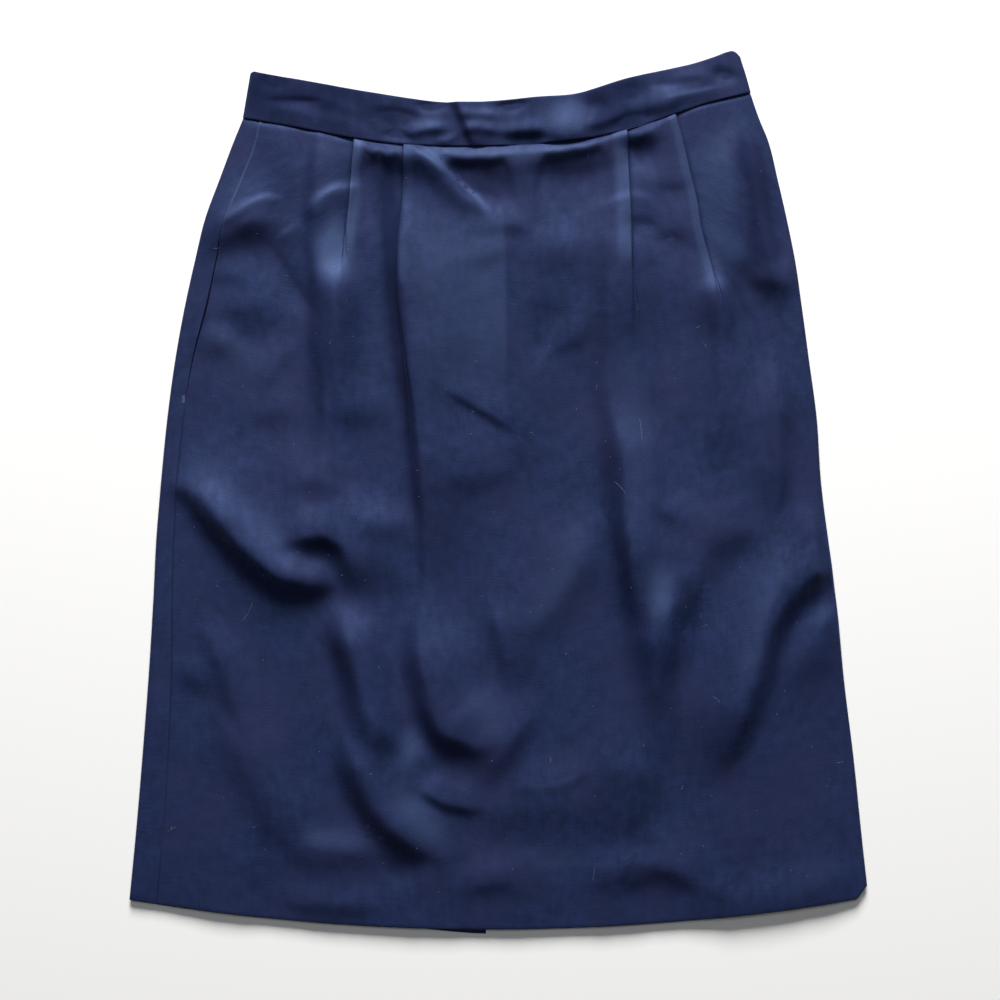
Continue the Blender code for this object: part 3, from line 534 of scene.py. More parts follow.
# %% Pleats
PLEAT_STEP = 2 * (CLOTH + GAP)
PLEAT_RADIUS = PLEAT_STEP / 4
LIP_TURNS, UNDER_TURNS = 6, 4
INNER_RUN, MIDDLE_RUN = [(-7, 0, 1), (-4, 0, 1), (-2, 0, 1)], (0, 0.5, 0.5)
OUTER_RUN = [(0, 0.4, 0), (0.3, 0, 0), (1.4, 0, 0), (3.4, 0, 0), (7, 0, 0)]
OPEN_REACH = 18.0
PLEATS = [
    {"side": -1, "depth": 16.0, "ends": 186.0, "fade": 120.0,
     "lip": table("y x", [(-300, -118), (150, -113), (188, -110), (210, -107.5), (233, -106), (256, -104)])},
    {"side": -1, "depth": 22.0, "ends": 128.0, "fade": -60.0,
     "lip": table("y x", [(-300, -50), (-41, -58), (14, -60), (61, -64), (117, -70), (131, -72),
                          (155, -73), (173, -73), (188, -72), (214, -69.5), (248, -68.5)])},
    {"side": 1, "depth": 22.0, "ends": 160.0, "fade": 60.0,
     "lip": table("y x", [(-300, 112), (45, 103), (138, 98), (167, 95.4), (196, 95), (219, 94), (262, 92)])},
    {"side": 1, "depth": 16.0, "ends": 152.0, "fade": 100.0,
     "lip": table("y x", [(-300, 200), (152, 156), (176, 149), (190, 145.4), (207, 143), (230, 137.6),
                          (254, 132), (272, 127)])},
]


def pleat_points():
    """Columns of a pleat from its inner side to its outer side. away is their place from the
    lip in folded cloth, under is 1 where the fold's depth moves them, level is their height
    as a share of the step, and spread is their place once the pleat is open. Both bends are
    half circles: r · (cos a ± 1) across, and r · sin a up."""
    lip = np.linspace(math.pi / 2, -math.pi / 2, LIP_TURNS)
    under = np.linspace(math.pi / 2, 3 * math.pi / 2, UNDER_TURNS)
    rows = [*INNER_RUN]
    rows += [(PLEAT_RADIUS * (math.cos(a) - 1), 0, (3 + math.sin(a)) / 4) for a in lip]
    rows += [MIDDLE_RUN]
    rows += [(PLEAT_RADIUS * (math.cos(a) + 1), 1, (1 + math.sin(a)) / 4) for a in under]
    rows += OUTER_RUN
    points = table("away under level", rows)
    points["spread"] = np.linspace(-OPEN_REACH, OPEN_REACH, len(rows))
    return points


PLEAT_SECTION = pleat_points()
PLEAT_COLUMNS = len(PLEAT_SECTION["away"])
LOOSENS = 12.0


def pleat_step(pleat, y):
    return PLEAT_STEP * smooth(pleat["fade"], pleat["ends"], y)


def pleat_lip(pleat, y):
    return curve(pleat["lip"]["y"], pleat["lip"]["x"], y)


def inside_lip(pleat, x, y):
    """How far a place is from the pleat's lip, towards the middle of the skirt."""
    return pleat["side"] * (pleat_lip(pleat, y) - x)


def lift_outside(number, y):
    """What the pleats further from the centre lift the cloth at the foot of this one."""
    side = PLEATS[number]["side"]
    further = PLEATS[:number] if side < 0 else PLEATS[number + 1 :]
    return sum((pleat_step(p, y) for p in further if p["side"] == side), 0 * y)


def pleat_section(number, y):
    """A pleat's columns from left to right: their place and their lift."""
    pleat, s = PLEATS[number], PLEAT_SECTION
    depth = pleat["depth"] * smooth(pleat["ends"], BACK_TOP_Y, y) ** 0.5
    loose = smooth(pleat["ends"] + LOOSENS, pleat["fade"], y)
    away = s["away"] * (1 - loose) - s["under"] * depth + s["spread"] * loose
    open_level = smooth(s["spread"][-1], s["spread"][0], s["spread"])
    level = s["level"] * (1 - loose) + open_level * loose
    across = pleat_lip(pleat, y) + pleat["side"] * away
    lift = lift_outside(number, y) + level * pleat_step(pleat, y)
    return (across, lift) if pleat["side"] > 0 else (across[:, ::-1], lift[:, ::-1])


print("columns in a pleat:", PLEAT_COLUMNS)

# %% The face of the front
CREASE_HEIGHT, FLOOR_SOFTNESS = 1.8, 0.4
INSIDE_TOP, CLOSURE_SHARE, PAST_FOLD = 2.25, 1.25, (1.0, 12.0)
EDGE_CALM, CALM_SHARE = 0.95, 0.5


def level_face(x, y):
    """The outer face without creases: flat cloth and a low arch across the skirt."""
    share = across_share(x, y)
    return LAY + CLOTH + ARCH * (1 - share**2)


def across_share(x, y):
    """How far a place is from the middle of the skirt, −1 at its left edge and 1 at its right."""
    left, right = left_edge(y), right_edge(y)
    return np.clip((2 * x - left - right) / (right - left), -1, 1)


def room(x, y):
    """How deep a hollow can be: down to what lies inside, which is the back, the pocket bag
    and the zip. Past the cloth that a pleat folds under, its step is free as well, counted
    from the nearer side of the skirt."""
    lifted = {-1: np.zeros(x.shape), 1: np.zeros(x.shape)}
    for pleat in PLEATS:
        past = inside_lip(pleat, x, y) - pleat["depth"]
        lifted[pleat["side"]] += pleat_step(pleat, y) * smooth(*PAST_FOLD, past)
    free = np.minimum(lifted[-1], lifted[1])
    return level_face(x, y) - WOOL - INSIDE_TOP - CLOSURE_SHARE * closure_rise(x, y) + free


def soft_floor(height, depth):
    """The height, held softly above the deepest hollow: s·ln(1 + exp((h + depth) / s)) − depth."""
    return FLOOR_SOFTNESS * np.logaddexp(0, (height + depth) / FLOOR_SOFTNESS) - depth


def front_face(x, y):
    """The height of the front's outer face, before its pleats lift it: level cloth, an arch
    across the skirt, and the creases, which calm down at the edges."""
    calm = CALM_SHARE + (1 - CALM_SHARE) * smooth(1.0, EDGE_CALM, np.abs(across_share(x, y)))
    height = CREASE_HEIGHT * relief(*wander(x, y), FRONT_CREASES) + ripples(x, y, UNEVEN)
    return level_face(x, y) + soft_floor(height, room(x, y)) * calm


print(f"level cloth in the middle: {level_face(0.0, 0.0):.1f} mm above the table")

# %% [markdown]
# ## The front panel
# The front runs from the left side seam, over its pleats, round the right edge and on to the
# right side seam underneath. Its rows run from the waist seam to the hem, closer together
# near the waist, where the cloth is gathered into the seam and the small creases are.

# %% Rows and edges of a panel
FRONT_ROWS, BACK_ROWS = 300, 131
ROW_CROWDING = 1.2
SETTLE = 4
MOUTH = table(
    "y gape",
    [(40, 0), (64, 0), (74, 0.5), (95, 0.9), (112, 1.3), (128, 2.2), (146, 1.1), (190, 0.5), (217, 0),
     (240, 0)],
)
MOUTH_LIFT, MOUTH_LIFT_WIDTH = 0.5, 4.0
SEAM_OFFSETS = np.array([0.0, 0.4, 1.0, 2.0, 3.4])
SEAM_DIP, SEAM_DIP_WIDTH, SEAM_GAP = 0.25, 1.2, 0.05
SEAM_RIDGE, SEAM_RIDGE_IN, SEAM_RIDGE_WIDTH = 0.55, 1.2, 1.1
RIDGE_FROM, RIDGE_TO, RIDGE_LEAST = 168.0, 200.0, 0.25
FRONT_FILLS = (58, 8, 74, 7, 34)
TURN_COLUMNS, UNDER_COLUMNS = 9, 4


def row_shares(rows):
    """How far down the panel each row lies, as a share of its length."""
    return (np.linspace(0, 1, rows) ** ROW_CROWDING)[:, None]


def mouth_gape(y):
    """How far the pocket mouth stands open."""
    return np.maximum(np.interp(y, MOUTH["y"], MOUTH["gape"]), 0)


def edge_turn(x, top, bottom, side, count):
    """Columns round an edge, on half an ellipse from a point above it to one below."""
    angle = np.arange(1, count) * math.pi / count
    across = x + side * EDGE_TURN * np.sin(angle)
    height = (top + bottom) / 2 + (top - bottom) / 2 * np.cos(angle)
    return across, height


def settle(rows, columns, place, hem):
    """The rows' own places and their columns' places across. A row lies at its share of the
    way from the waist seam to the hem, both taken where its column starts and ends."""
    share = row_shares(rows)
    y = BACK_TOP_Y - BACK_LENGTH * share * np.ones(columns)
    for _ in range(SETTLE):
        x, lift = place(y)
        y = (waist(x[0]) - GAP / 2) * (1 - share) + hem(x[-1]) * share
    return x, y, lift


def front_top(y):
    """The columns on top, from the side seam to the right edge: their place and their lift."""
    first = y[:, : len(SEAM_OFFSETS)]
    mouth = mouth_gape(first)
    seam = left_edge(first) + seam_in(first) + SEAM_GAP + mouth + SEAM_OFFSETS
    ridge = SEAM_RIDGE * np.exp(-(((SEAM_OFFSETS - SEAM_RIDGE_IN) / SEAM_RIDGE_WIDTH) ** 2))
    ridge = ridge * (RIDGE_LEAST + (1 - RIDGE_LEAST) * smooth(RIDGE_FROM, RIDGE_TO, first))
    across, lift = [seam], [MOUTH_LIFT * mouth * np.exp(-SEAM_OFFSETS / MOUTH_LIFT_WIDTH) + ridge]
    column = len(SEAM_OFFSETS)
    for number, fill in enumerate(FRONT_FILLS):
        after = y[:, column + fill : column + fill + PLEAT_COLUMNS]
        if number < len(PLEATS):
            new = pleat_section(number, after)
        else:
            new = (right_edge(after[:, :1]) - EDGE_TURN, 0 * after[:, :1])
        for kept, group in zip((across, lift), new, strict=True):
            kept += [between(kept[-1][:, -1:], group[:, :1], fill), group]
        column += fill + PLEAT_COLUMNS
    return np.hstack(across), np.hstack(lift)


def front_place(y):
    """Every column of the front: the top ones, those round the edge and those underneath."""
    top = y.shape[1] - TURN_COLUMNS + 1 - UNDER_COLUMNS
    across, lift = front_top(y[:, :top])
    edge, seam = y[:, top - 1 : top], y[:, -1:]
    turn = edge_turn(across[:, -1:], 0 * edge, 0 * edge, 1, TURN_COLUMNS)[0]
    last = right_edge(seam) - seam_in(seam) + GAP / 2
    start = right_edge(edge) - EDGE_TURN
    under = start + (last - start) * np.linspace(0, 1, UNDER_COLUMNS)
    rest = np.hstack([turn, under])
    return np.hstack([across, rest]), np.hstack([lift, 0 * rest])


print("rows of the front:", FRONT_ROWS, " of each back:", BACK_ROWS)

# %% Gathers and the waist seam
TUCK = table("up down", [(0.3, 1.2), (1.2, 1.7), (4.0, 1.9), (9.0, 1.9)])
TUCK_LEAN = 0.0018
WAIST_DIP, WAIST_DIP_WIDTH, PLAIN_DIP = 1.0, 1.4, 0.75
LEDGE = table(
    "x height reach",
    [
        (-184, 0.0, 3), (-176, 0.1, 3.5), (-171, 0.24, 6), (-166, 0.3, 3.5), (-160, 0.30, 6.5),
        (-155, 0.3, 4), (-150, 0.24, 5.5), (-146, 0.2, 3.5), (-141, 0.24, 6), (-136, 0.1, 3.5),
        (-131, 0.24, 5), (-127, 0.3, 3.5), (-121, 0.30, 6.5), (-116, 0.3, 4), (-111, 0.30, 5.5),
        (-107, 0.3, 4), (-101, 1.2, 8), (-96, 1.0, 5), (-91, 1.5, 9), (-86, 1.1, 6), (-80, 1.6, 10),
        (-75, 1.1, 6), (-71, 1.0, 7), (-66, 1.3, 9), (-60, 1.4, 8), (-54, 1.1, 6.5), (-46, 1.4, 8),
        (-38, 1.2, 6.5), (-30, 1.6, 8), (-22, 1.8, 9), (-14, 1.7, 8), (-6, 1.7, 8.5), (2, 1.4, 7),
        (10, 1.5, 7.5), (18, 1.3, 7), (26, 1.5, 7.5), (34, 1.5, 6.5), (44, 1.6, 7), (54, 1.6, 6),
        (62, 1.5, 6.5), (70, 1.2, 5), (78, 0.8, 5.5), (86, 0.7, 5), (94, 0.4, 4), (100, 0.9, 7),
        (106, 0.8, 6), (112, 0.4, 6), (120, 0.2, 4), (128, 0.1, 4), (138, 0.0, 3), (182, 0.0, 3),
    ],
)
LEDGE_HEIGHT, LEDGE_FALL, HOLLOW_FALL, HOLLOW_LEDGE = 1.35, 24.0, 4.5, 1.0
HOLLOWS = table("middle half", [(-84, 9), (-15, 17), (53, 18), (102, 5)])
HOLLOW_EDGE = 13.0


def gathers(x, below):
    """The cloth goes into the waist seam with a dip, and under it stands out in an uneven
    ledge, which rises over its reach and then falls off again."""
    top = np.interp(x, LEDGE["x"], LEDGE["height"])
    reach = np.interp(x, LEDGE["x"], LEDGE["reach"])
    hollow = 0 * x
    for middle, half in rows_of(HOLLOWS):
        hollow = np.maximum(hollow, smooth(half + HOLLOW_EDGE, half, np.abs(x - middle)))
    past = np.maximum(below - reach, 0) / (LEDGE_FALL + (HOLLOW_FALL - LEDGE_FALL) * hollow)
    top = top + HOLLOW_LEDGE * hollow
    ledge = smooth(0, 1, below / reach) * np.exp(-(past**2))
    dip = WAIST_DIP * np.minimum(PLAIN_DIP + top, 1)
    return LEDGE_HEIGHT * top * ledge - dip * np.exp(-((below / WAIST_DIP_WIDTH) ** 2))


print(f"the gathers stand out up to {LEDGE_HEIGHT * LEDGE['height'].max():.1f} mm")

# %% The hem
ROLL = table("out down", [(0.3, 0.08), (0.55, 0.3), (0.7, 0.75)])
HEM_LINE, HEM_LINE_WIDTH = 0.15, 2.5


def hem_line(x, y, hem_y):
    """A faint step where the hem is turned up inside, one wall of cloth less above it."""
    return -HEM_LINE * smooth(HEM_DEPTH - HEM_LINE_WIDTH, HEM_DEPTH + HEM_LINE_WIDTH, y - hem_y)


def add_tuck_and_roll(x, y, z, down):
    """Rows before the first, which pass into the waist seam, and after the last, which turn
    over the hem. down is −1 on top of the skirt and 1 underneath."""
    rows = [(x, y, z)]
    for up, drop in rows_of(TUCK):
        rows.insert(0, (x[:1] * (1 - TUCK_LEAN * up), y[:1] + up, z[:1] + down * drop))
    for out, drop in rows_of(ROLL):
        rows.append((x[-1:], y[-1:] - out, z[-1:] + down * drop))
    return np.stack([np.concatenate(parts) for parts in zip(*rows, strict=True)], axis=2)


def hem_wall(rows, doubled):
    """How far the inner face lies from the middle: more where the hem doubles the cloth."""
    share = row_shares(rows)
    inner = WOOL / 2 + (HEM_WOOL - WOOL) * (share >= HEM_SHARE) * doubled
    before, after = len(TUCK["up"]), len(ROLL["out"])
    return np.concatenate([inner[:1]] * before + [inner] + [inner[-1:]] * after)


print("the hem is turned up by", HEM_DEPTH, "mm")

# %% Painted highlights and shade, and marks of the iron
# Painted highlight strips beside each pleat's lip, partly the shine of the iron.
LIP_SHINE = table("strength width foot", [(0.75, 9, 176), (0.3, 9, 150), (0.6, 13, 168), (0.45, 8, 154)])
FOOT_FADE, SHADE_FADE = 8.0, 25.0
# Painted shade in the corner outside each pleat's lip.
LIP_SHADE, LIP_SHADE_WIDTH, LIP_SHADE_FULL, LIP_SIDE = 0.9, 2.2, -0.4, -0.1
# A painted highlight along the side seam's upper edge.
SEAM_SHINE, SEAM_SHINE_WIDTH = 0.8, 2.0
DEEPEST_MARK = -1.5
# Painted shade along the side seam below the pocket mouth.
SEAM_SHADE, SEAM_SHADE_WIDTH, MOUTH_FOOT = 1.0, 1.6, 64.0
# Lines of painted highlight, above 0, and of painted shade, below 0, on the front's light and dark patches.
SHINE_AND_SHADE_LINES = [
    (1.6, 10, 10, 0.7, 0.12, (-117, 206), (-119, 184), (-119, 158)),
    (0.5, 5, 4, 0.3, 0.3, (-137, 205), (-120, 219), (-107, 222)),
    (0.8, 2.8, 2.8, 0.05, 0.2, (-54, 245), (-38, 231), (-22, 217), (-6, 202)),
    (0.6, 7, 7, 0.25, 0.25, (151, 172), (154, 158), (158, 146)),
    (0.5, 11, 8, 0.3, 0.3, (150, 192), (163, 180), (176, 166)),
    (0.75, 11, 11, 0.3, 0.2, (113, -58), (117, -72), (118, -86)),
    (0.25, 10, 14, 0.3, 0.4, (92, 120), (98, 60), (104, 0), (112, -50)),
    (0.25, 10, 10, 0.15, 0.3, (-230, 26), (-212, 12), (-180, -16), (-150, -46), (-132, -62)),
    (0.6, 14, 12, 0.3, 0.3, (-68, -214), (-58, -234), (-46, -252)),
    (-0.8, 11, 11, 0.3, 0.15, (80, -275), (108, -281), (136, -287)),
    (-1.6, 9, 9, 0.2, 0.2, (171, 260), (182, 233), (188, 206), (192, 178), (198, 158)),
    (-0.8, 7, 11, 0.2, 0.15, (-96, 233), (-84, 230), (-74, 232)),
    (-0.8, 6, 10, 0.25, 0.25, (-34, 235), (-16, 229), (4, 228)),
    (-0.6, 5, 9, 0.25, 0.25, (28, 232), (52, 231), (76, 236)),
    (-0.6, 5, 7, 0.25, 0.3, (95, 247), (102, 246), (110, 249)),
    (-1.1, 5, 5.5, 0.2, 0.3, (-77, 225), (-79, 190), (-77, 150), (-73, 110), (-67, 70), (-63, 30)),
    (-0.8, 7, 7, 0.1, 0.3, (-81, 236), (-80, 215), (-77, 185)),
    (-0.9, 6, 6, 0.2, 0.2, (-143, -38), (-128, -39), (-118, -46), (-113, -60), (-119, -72)),
    (-0.6, 8, 8, (-134, 8), (-131, 2), (-129, -5)),
    (-0.45, 2.8, 2.8, 0.2, 0.2, (-29, 67), (-13, 56), (3, 44)),
    (-0.4, 9, 9, (10, 32), (18, 26), (27, 18)),
    (0.35, 1.5, 30, 0.2, 0.3, (2, 207), (3, 160), (4, 110), (4, 76)),
    (-0.85, 7, 8, 0.15, 0.3, (76, 44), (79, 16), (84, -12), (89, -40), (92, -64)),
    (-0.6, 6, 6, 0.2, 0.3, (242, -58), (220, -64), (206, -78), (197, -98), (190, -122)),
    (-0.6, 8, 9, 0.3, 0.3, (158, 134), (166, 131), (174, 128)),
    (0.5, 3, 6, 0.2, 0.2, (20, -214), (42, -211), (60, -203)),
]
SPOT_ENDS = (0.3, 0.3)
# Patches of painted highlight, above 0, and of painted shade, below 0.
SHINE_AND_SHADE_SPOTS = [
    (0.45, 4, (-198, 196), (-172, 209), (-156, 209)),
    (0.6, 5, (-97, 247), (-60, 243), (-22, 242), (28, 243.5), (68, 248), (94, 255)),
    (0.35, 16, (156, 252), (159, 228), (160, 200)),
    (0.3, 14, (-205, 118), (-190, 110), (-170, 90)),
    (0.25, 34, (-38, 200), (-38, 130), (-30, 60)),
    (0.5, 9, (-62, -170), (-64, -186), (-66, -200)),
    (-0.5, 9, (-84, -180), (-82, -190), (-78, -200)),
    (-0.35, 20, (-20, -236), (20, -238), (60, -236)),
    (-0.45, 22, (66, -190), (82, -215), (92, -240)),
    (-0.5, 11, (108, -200), (107, -222), (102, -240)),
    (-0.35, 12, (126, -70), (132, -82), (140, -60)),
    (-0.3, 12, (140, -32), (165, -34), (188, -32)),
    (-0.4, 15, (205, 90), (206, 40), (204, -10)),
    (-0.35, 9, (155, 120), (156, 60), (155, 5)),
    (-0.8, 9, (-194, 185), (-184, 185), (-173, 179)),
    (-0.45, 11, (-186, 124), (-178, 120), (-170, 116)),
    (-0.4, 9, (-136, 110), (-135, 60), (-133, 10)),
    (-0.35, 9, (-172, 50), (-160, 46), (-150, 40)),
    (-0.35, 10, (-104, 48), (-92, 44), (-82, 38)),
    (-0.5, 9, (-140, -36), (-126, -40), (-118, -56)),
    (-0.35, 12, (-80, 214), (-77, 200), (-74, 168)),
    (-0.4, 10, (-12, 214), (-4, 212), (4, 208)),
    (-0.4, 8, (72, 186), (72, 140), (72, 80)),
    (-0.4, 8, (126, 186), (130, 176), (134, 168)),
    (-0.4, 14, (-180, -195), (-175, -215), (-165, -240)),
    (-0.5, 12, (-155, -268), (-130, -273), (-104, -276)),
    (-0.3, 12, (-14, -92), (-6, -110), (0, -132)),
    (-0.25, 16, (-188, -132), (-196, -145), (-204, -156)),
    (0.25, 12, (0, -256), (30, -262), (60, -262)),
    (0.25, 12, (180, -276), (205, -280), (230, -282)),
    (-0.4, 11, (-72, -280), (-52, -284), (-34, -288)),
    (0.3, 12, (-22, -140), (-10, -158), (2, -172)),
    (0.25, 12, (60, -10), (50, -50), (32, -85), (14, -108)),
    (0.3, 9, (204, -40), (196, -70), (184, -110), (168, -150)),
    (-0.6, 8, (137, -64), (132, -82), (128, -96)),
    (-0.4, 9, (188, -30), (162, -40), (145, -50)),
    (-0.6, 5, (111, -8), (116, -17), (127, -20)),
    (-0.5, 14, (200, -26), (222, -34), (244, -44)),
    (-0.7, 8, (184, 185), (191, 177), (199, 168)),
    (-0.6, 8, (190, 142), (198, 138), (206, 134)),
    (-0.9, 7, (167, 156), (174, 153), (181, 149)),
    (-0.5, 12, (-14, -277), (8, -282), (26, -284)),
    (0.35, 8, (-146, -246), (-120, -252), (-92, -253)),
    (-0.45, 24, (140, -130), (150, -175), (160, -215)),
    (-0.5, 20, (150, -262), (190, -266), (235, -260)),
]


def same_width(rows):
    """Rows of height, width and points as creases as wide to the left as to the right."""
    return [(height, width, width, *SPOT_ENDS, *points) for height, width, *points in rows]


def nap_and_painted_light(x, y):
    """Painted highlight above 0 and painted shade below 0, partly the nap. Above 0 it is paler:
    beside the lips of the pleats, where the iron went, along the side seam's edge, and on light
    patches. Below 0 it is darker, as in the corner outside each lip, where the nap also stands up."""
    mark = relief(x, y, SHINE_AND_SHADE_LINES + same_width(SHINE_AND_SHADE_SPOTS))
    from_seam = x - left_edge(y) - seam_in(y)
    shine = smooth(SEAM_SHINE_WIDTH, 0, from_seam) * smooth(RIDGE_FROM, RIDGE_TO, y)
    shade = smooth(SEAM_SHADE_WIDTH, 0, from_seam) * smooth(MOUTH_FOOT, MOUTH_FOOT - FOOT_FADE, y)
    mark = mark + SEAM_SHINE * shine - SEAM_SHADE * shade
    for pleat, (strength, width, foot) in zip(PLEATS, rows_of(LIP_SHINE), strict=True):
        inside = inside_lip(pleat, x, y)
        strip = smooth(width, width / 2, inside) * smooth(foot - FOOT_FADE, foot + FOOT_FADE, y)
        shade = smooth(-LIP_SHADE_WIDTH, LIP_SHADE_FULL, inside) * smooth(foot - SHADE_FADE, foot, y)
        mark = mark + np.where(inside > LIP_SIDE, strength * strip, -LIP_SHADE * shade)
    return np.clip(mark, DEEPEST_MARK, 1)


print(len(SHINE_AND_SHADE_LINES) + len(SHINE_AND_SHADE_SPOTS), "marks on the front")

# %% Making the front
INNER_STEP = 3


def make_front(material):
    """The front: its face, lifted by pleats and gathers, as a wall that is doubled at the hem."""
    columns = len(SEAM_OFFSETS) + sum(FRONT_FILLS) + len(PLEATS) * PLEAT_COLUMNS + 1
    columns += TURN_COLUMNS - 1 + UNDER_COLUMNS
    top = columns - TURN_COLUMNS + 1 - UNDER_COLUMNS
    x, y, lift = settle(FRONT_ROWS, columns, front_place, front_hem)
    z = front_face(x, y) + lift - WOOL / 2
    z[:, :top] += gathers(x[:, :top], (waist(x[:1, :top]) - y[:, :top]))
    z[:, :top] += hem_line(x[:, :top], y[:, :top], y[-1:, :top])
    edge, low = z[:, top - 1 : top], WOOL / 2
    z[:, top : top + TURN_COLUMNS - 1] = edge_turn(0, edge, low, 1, TURN_COLUMNS)[1]
    z[:, -UNDER_COLUMNS:] = low
    down = np.full(columns, -1.0)
    down[top:] = np.linspace(-1, 1, columns - top)
    middle = add_tuck_and_roll(x, y, z, down)
    inner = hem_wall(FRONT_ROWS, np.ones(columns))
    starts = [len(SEAM_OFFSETS) + FRONT_FILLS[0]]
    starts += [fill + PLEAT_COLUMNS for fill in FRONT_FILLS[1 : len(PLEATS)]]
    folds = np.concatenate([np.arange(start, start + PLEAT_COLUMNS) for start in np.cumsum(starts)])
    keep = np.unique(np.concatenate([every(columns, INNER_STEP), folds, np.arange(top - 1, columns)]))
    piece = add_shell("front_cloth", middle, WOOL, material, inner, INNER_STEP, keep, columns // 2)
    # Painted highlights and painted shade on the top columns of the front.
    add_marks(piece, nap_and_painted_light(middle[..., 0], middle[..., 1]) * (np.arange(columns) < top))
    return piece


# %% [markdown]
# ## The waistband
# The waistband is a strip with a stiffener inside, folded over along its top edge. It runs
# from its end at the centre back, round the left edge, over the front and back round the
# right edge. One closed profile, a flat loop with two rounded ends, is carried along that
# path, and the outer side of the loop carries the creases of the front.

# %% The band's path
BAND, BACK_BAND_LOWER, UNDERLAP = 1.6, 1.5, 30.0
LAP_START, LAP_UP = 9.0, 1.2
BAND_SOFT = 20.0
BAND_STATIONS, BACK_STATIONS, TURN_STATIONS, LAP_STATIONS = 300, 60, 7, 9
BAND_TURN = (LAY + BAND) / 2
FACE_POINTS, FOLD_POINTS, INSIDE_POINTS = 30, 5, 6  # of one loop round the strip


def band_lift(x):
    """The front of the waistband lies on the pleats, and rises softly over each."""
    lift = 0 * x
    for pleat in PLEATS:
        lip = pleat["lip"]["x"][-1]
        lift = lift - pleat["side"] * PLEAT_STEP * smooth(lip - BAND_SOFT, lip + BAND_SOFT, x)
    return lift


def band_path():
    """The middle of the strip at each station: its place across at the waist seam, its
    height, how much lower it lies than the front's, and whether it shows on top."""
    left, right = WAIST_LEFT + BAND_TURN, WAIST_RIGHT - BAND_TURN
    low, high = BAND / 2, LAY + BAND / 2
    to_left = np.linspace(BACK_TOP_X - GAP / 2, left, BACK_STATIONS)
    front = np.linspace(left, right, BAND_STATIONS)
    from_right = np.linspace(right, BACK_TOP_X + LAP_START, BACK_STATIONS)
    lap = BACK_TOP_X - np.linspace(-LAP_UP, UNDERLAP, LAP_STATIONS)
    angle = np.arange(1, TURN_STATIONS + 1) * math.pi / (TURN_STATIONS + 1)
    left_x, right_x = left - BAND_TURN * np.sin(angle), right + BAND_TURN * np.sin(angle)
    turn_z = (low + high) / 2 + (high - low) / 2 * np.cos(angle)
    round_edge = smooth(math.pi / 2, math.pi, angle)
    runs = [
        (to_left, low + closure_rise(to_left, BACK_TOP_Y), 1 + 0 * to_left),
        (left_x, turn_z[::-1], 1 - round_edge),
        (front, high + band_lift(front), 0 * front),
        (right_x, turn_z, round_edge),
        (from_right, low + closure_rise(from_right, BACK_TOP_Y), 1 + 0 * from_right),
        (lap, low + closure_rise(lap, BACK_TOP_Y) + BAND + GAP, 1 + 0 * lap),
    ]
    x, z, behind = (np.concatenate(column) for column in zip(*runs, strict=True))
    return x, z, BACK_BAND_LOWER * behind, 1 - behind


BAND_CREASES = [
    (-1.5, 7, 5, 0.3, 0.3, (-170, 296), (-163, 295), (-155, 293)),
    (1.5, 7, 14, 0.25, 0.3, (-170, 276), (-148, 272), (-125, 267), (-94, 259)),
    (-0.9, 2.5, 3, 0.2, 0.3, (-168, 282), (-150, 281.5), (-127, 281)),
    (1.3, 5, 8, 0.3, 0.3, (-130, 283), (-118, 279), (-104, 273)),
    (1.0, 9, 8, 0.3, 0.3, (-150, 291), (-135, 288), (-118, 286)),
    (-1.5, 5, 8, 0.3, 0.3, (-90, 273), (-74, 270), (-56, 268)),
    (-1.4, 4, 4, 0.3, 0.2, (-60, 278), (-48, 276.5), (-37, 279)),
    (1.6, 5, 4, 0.3, 0.2, (-68, 256), (-54, 260), (-38, 261)),
    (-1.2, 3, 4, (-84, 257), (-72, 257), (-62, 253)),
    (0.8, 3, 3, (-46, 252), (-38, 252), (-30, 256)),
    (2.6, 12, 3.6, 0.02, 0.1, (-33, 286), (-29, 278), (-24, 266), (-17, 250)),
    (1.6, 5, 4, 0.2, 0.2, (-26, 259), (-14, 261), (-2, 259)),
    (1.2, 4, 4, 0.2, 0.2, (-28, 271), (-14, 271), (-2, 270)),
    (-1.5, 3, 5, (-4, 277), (8, 277), (22, 280)),
    (3.2, 16, 9, (36, 259), (50, 257), (62, 261)),
    (2.0, 6, 6, (-3, 259), (12, 259), (34, 261)),
    (-1.6, 4, 7, (4, 254), (18, 253), (36, 254)),
    (1.6, 5, 5, (62, 263), (74, 266), (88, 271)),
    (-1.6, 5, 8, (76, 262), (92, 266), (112, 271)),
    (-1.5, 8, 7, (86, 288), (95, 286), (103, 284)),
    (-1.5, 7, 7, (62, 279), (70, 277), (78, 276)),
    (2.2, 9, 7, (104, 278), (117, 280), (130, 285)),
    (1.0, 3, 9, 0.3, 0.3, (118, 282), (140, 286), (162, 291)),
    (1.8, 10, 9, (124, 293), (140, 296), (154, 300)),
    (-1.5, 5, 5, (154, 302), (161, 300), (170, 299)),
    (-0.8, 4, 4, 0.3, 0.3, (108, 293), (126, 293), (150, 297)),
]
BAND_WAVES = draw_waves(24, 8.0, 45.0, 0.012)
BAND_HEIGHT, BAND_DENT = 1.35, 0.9
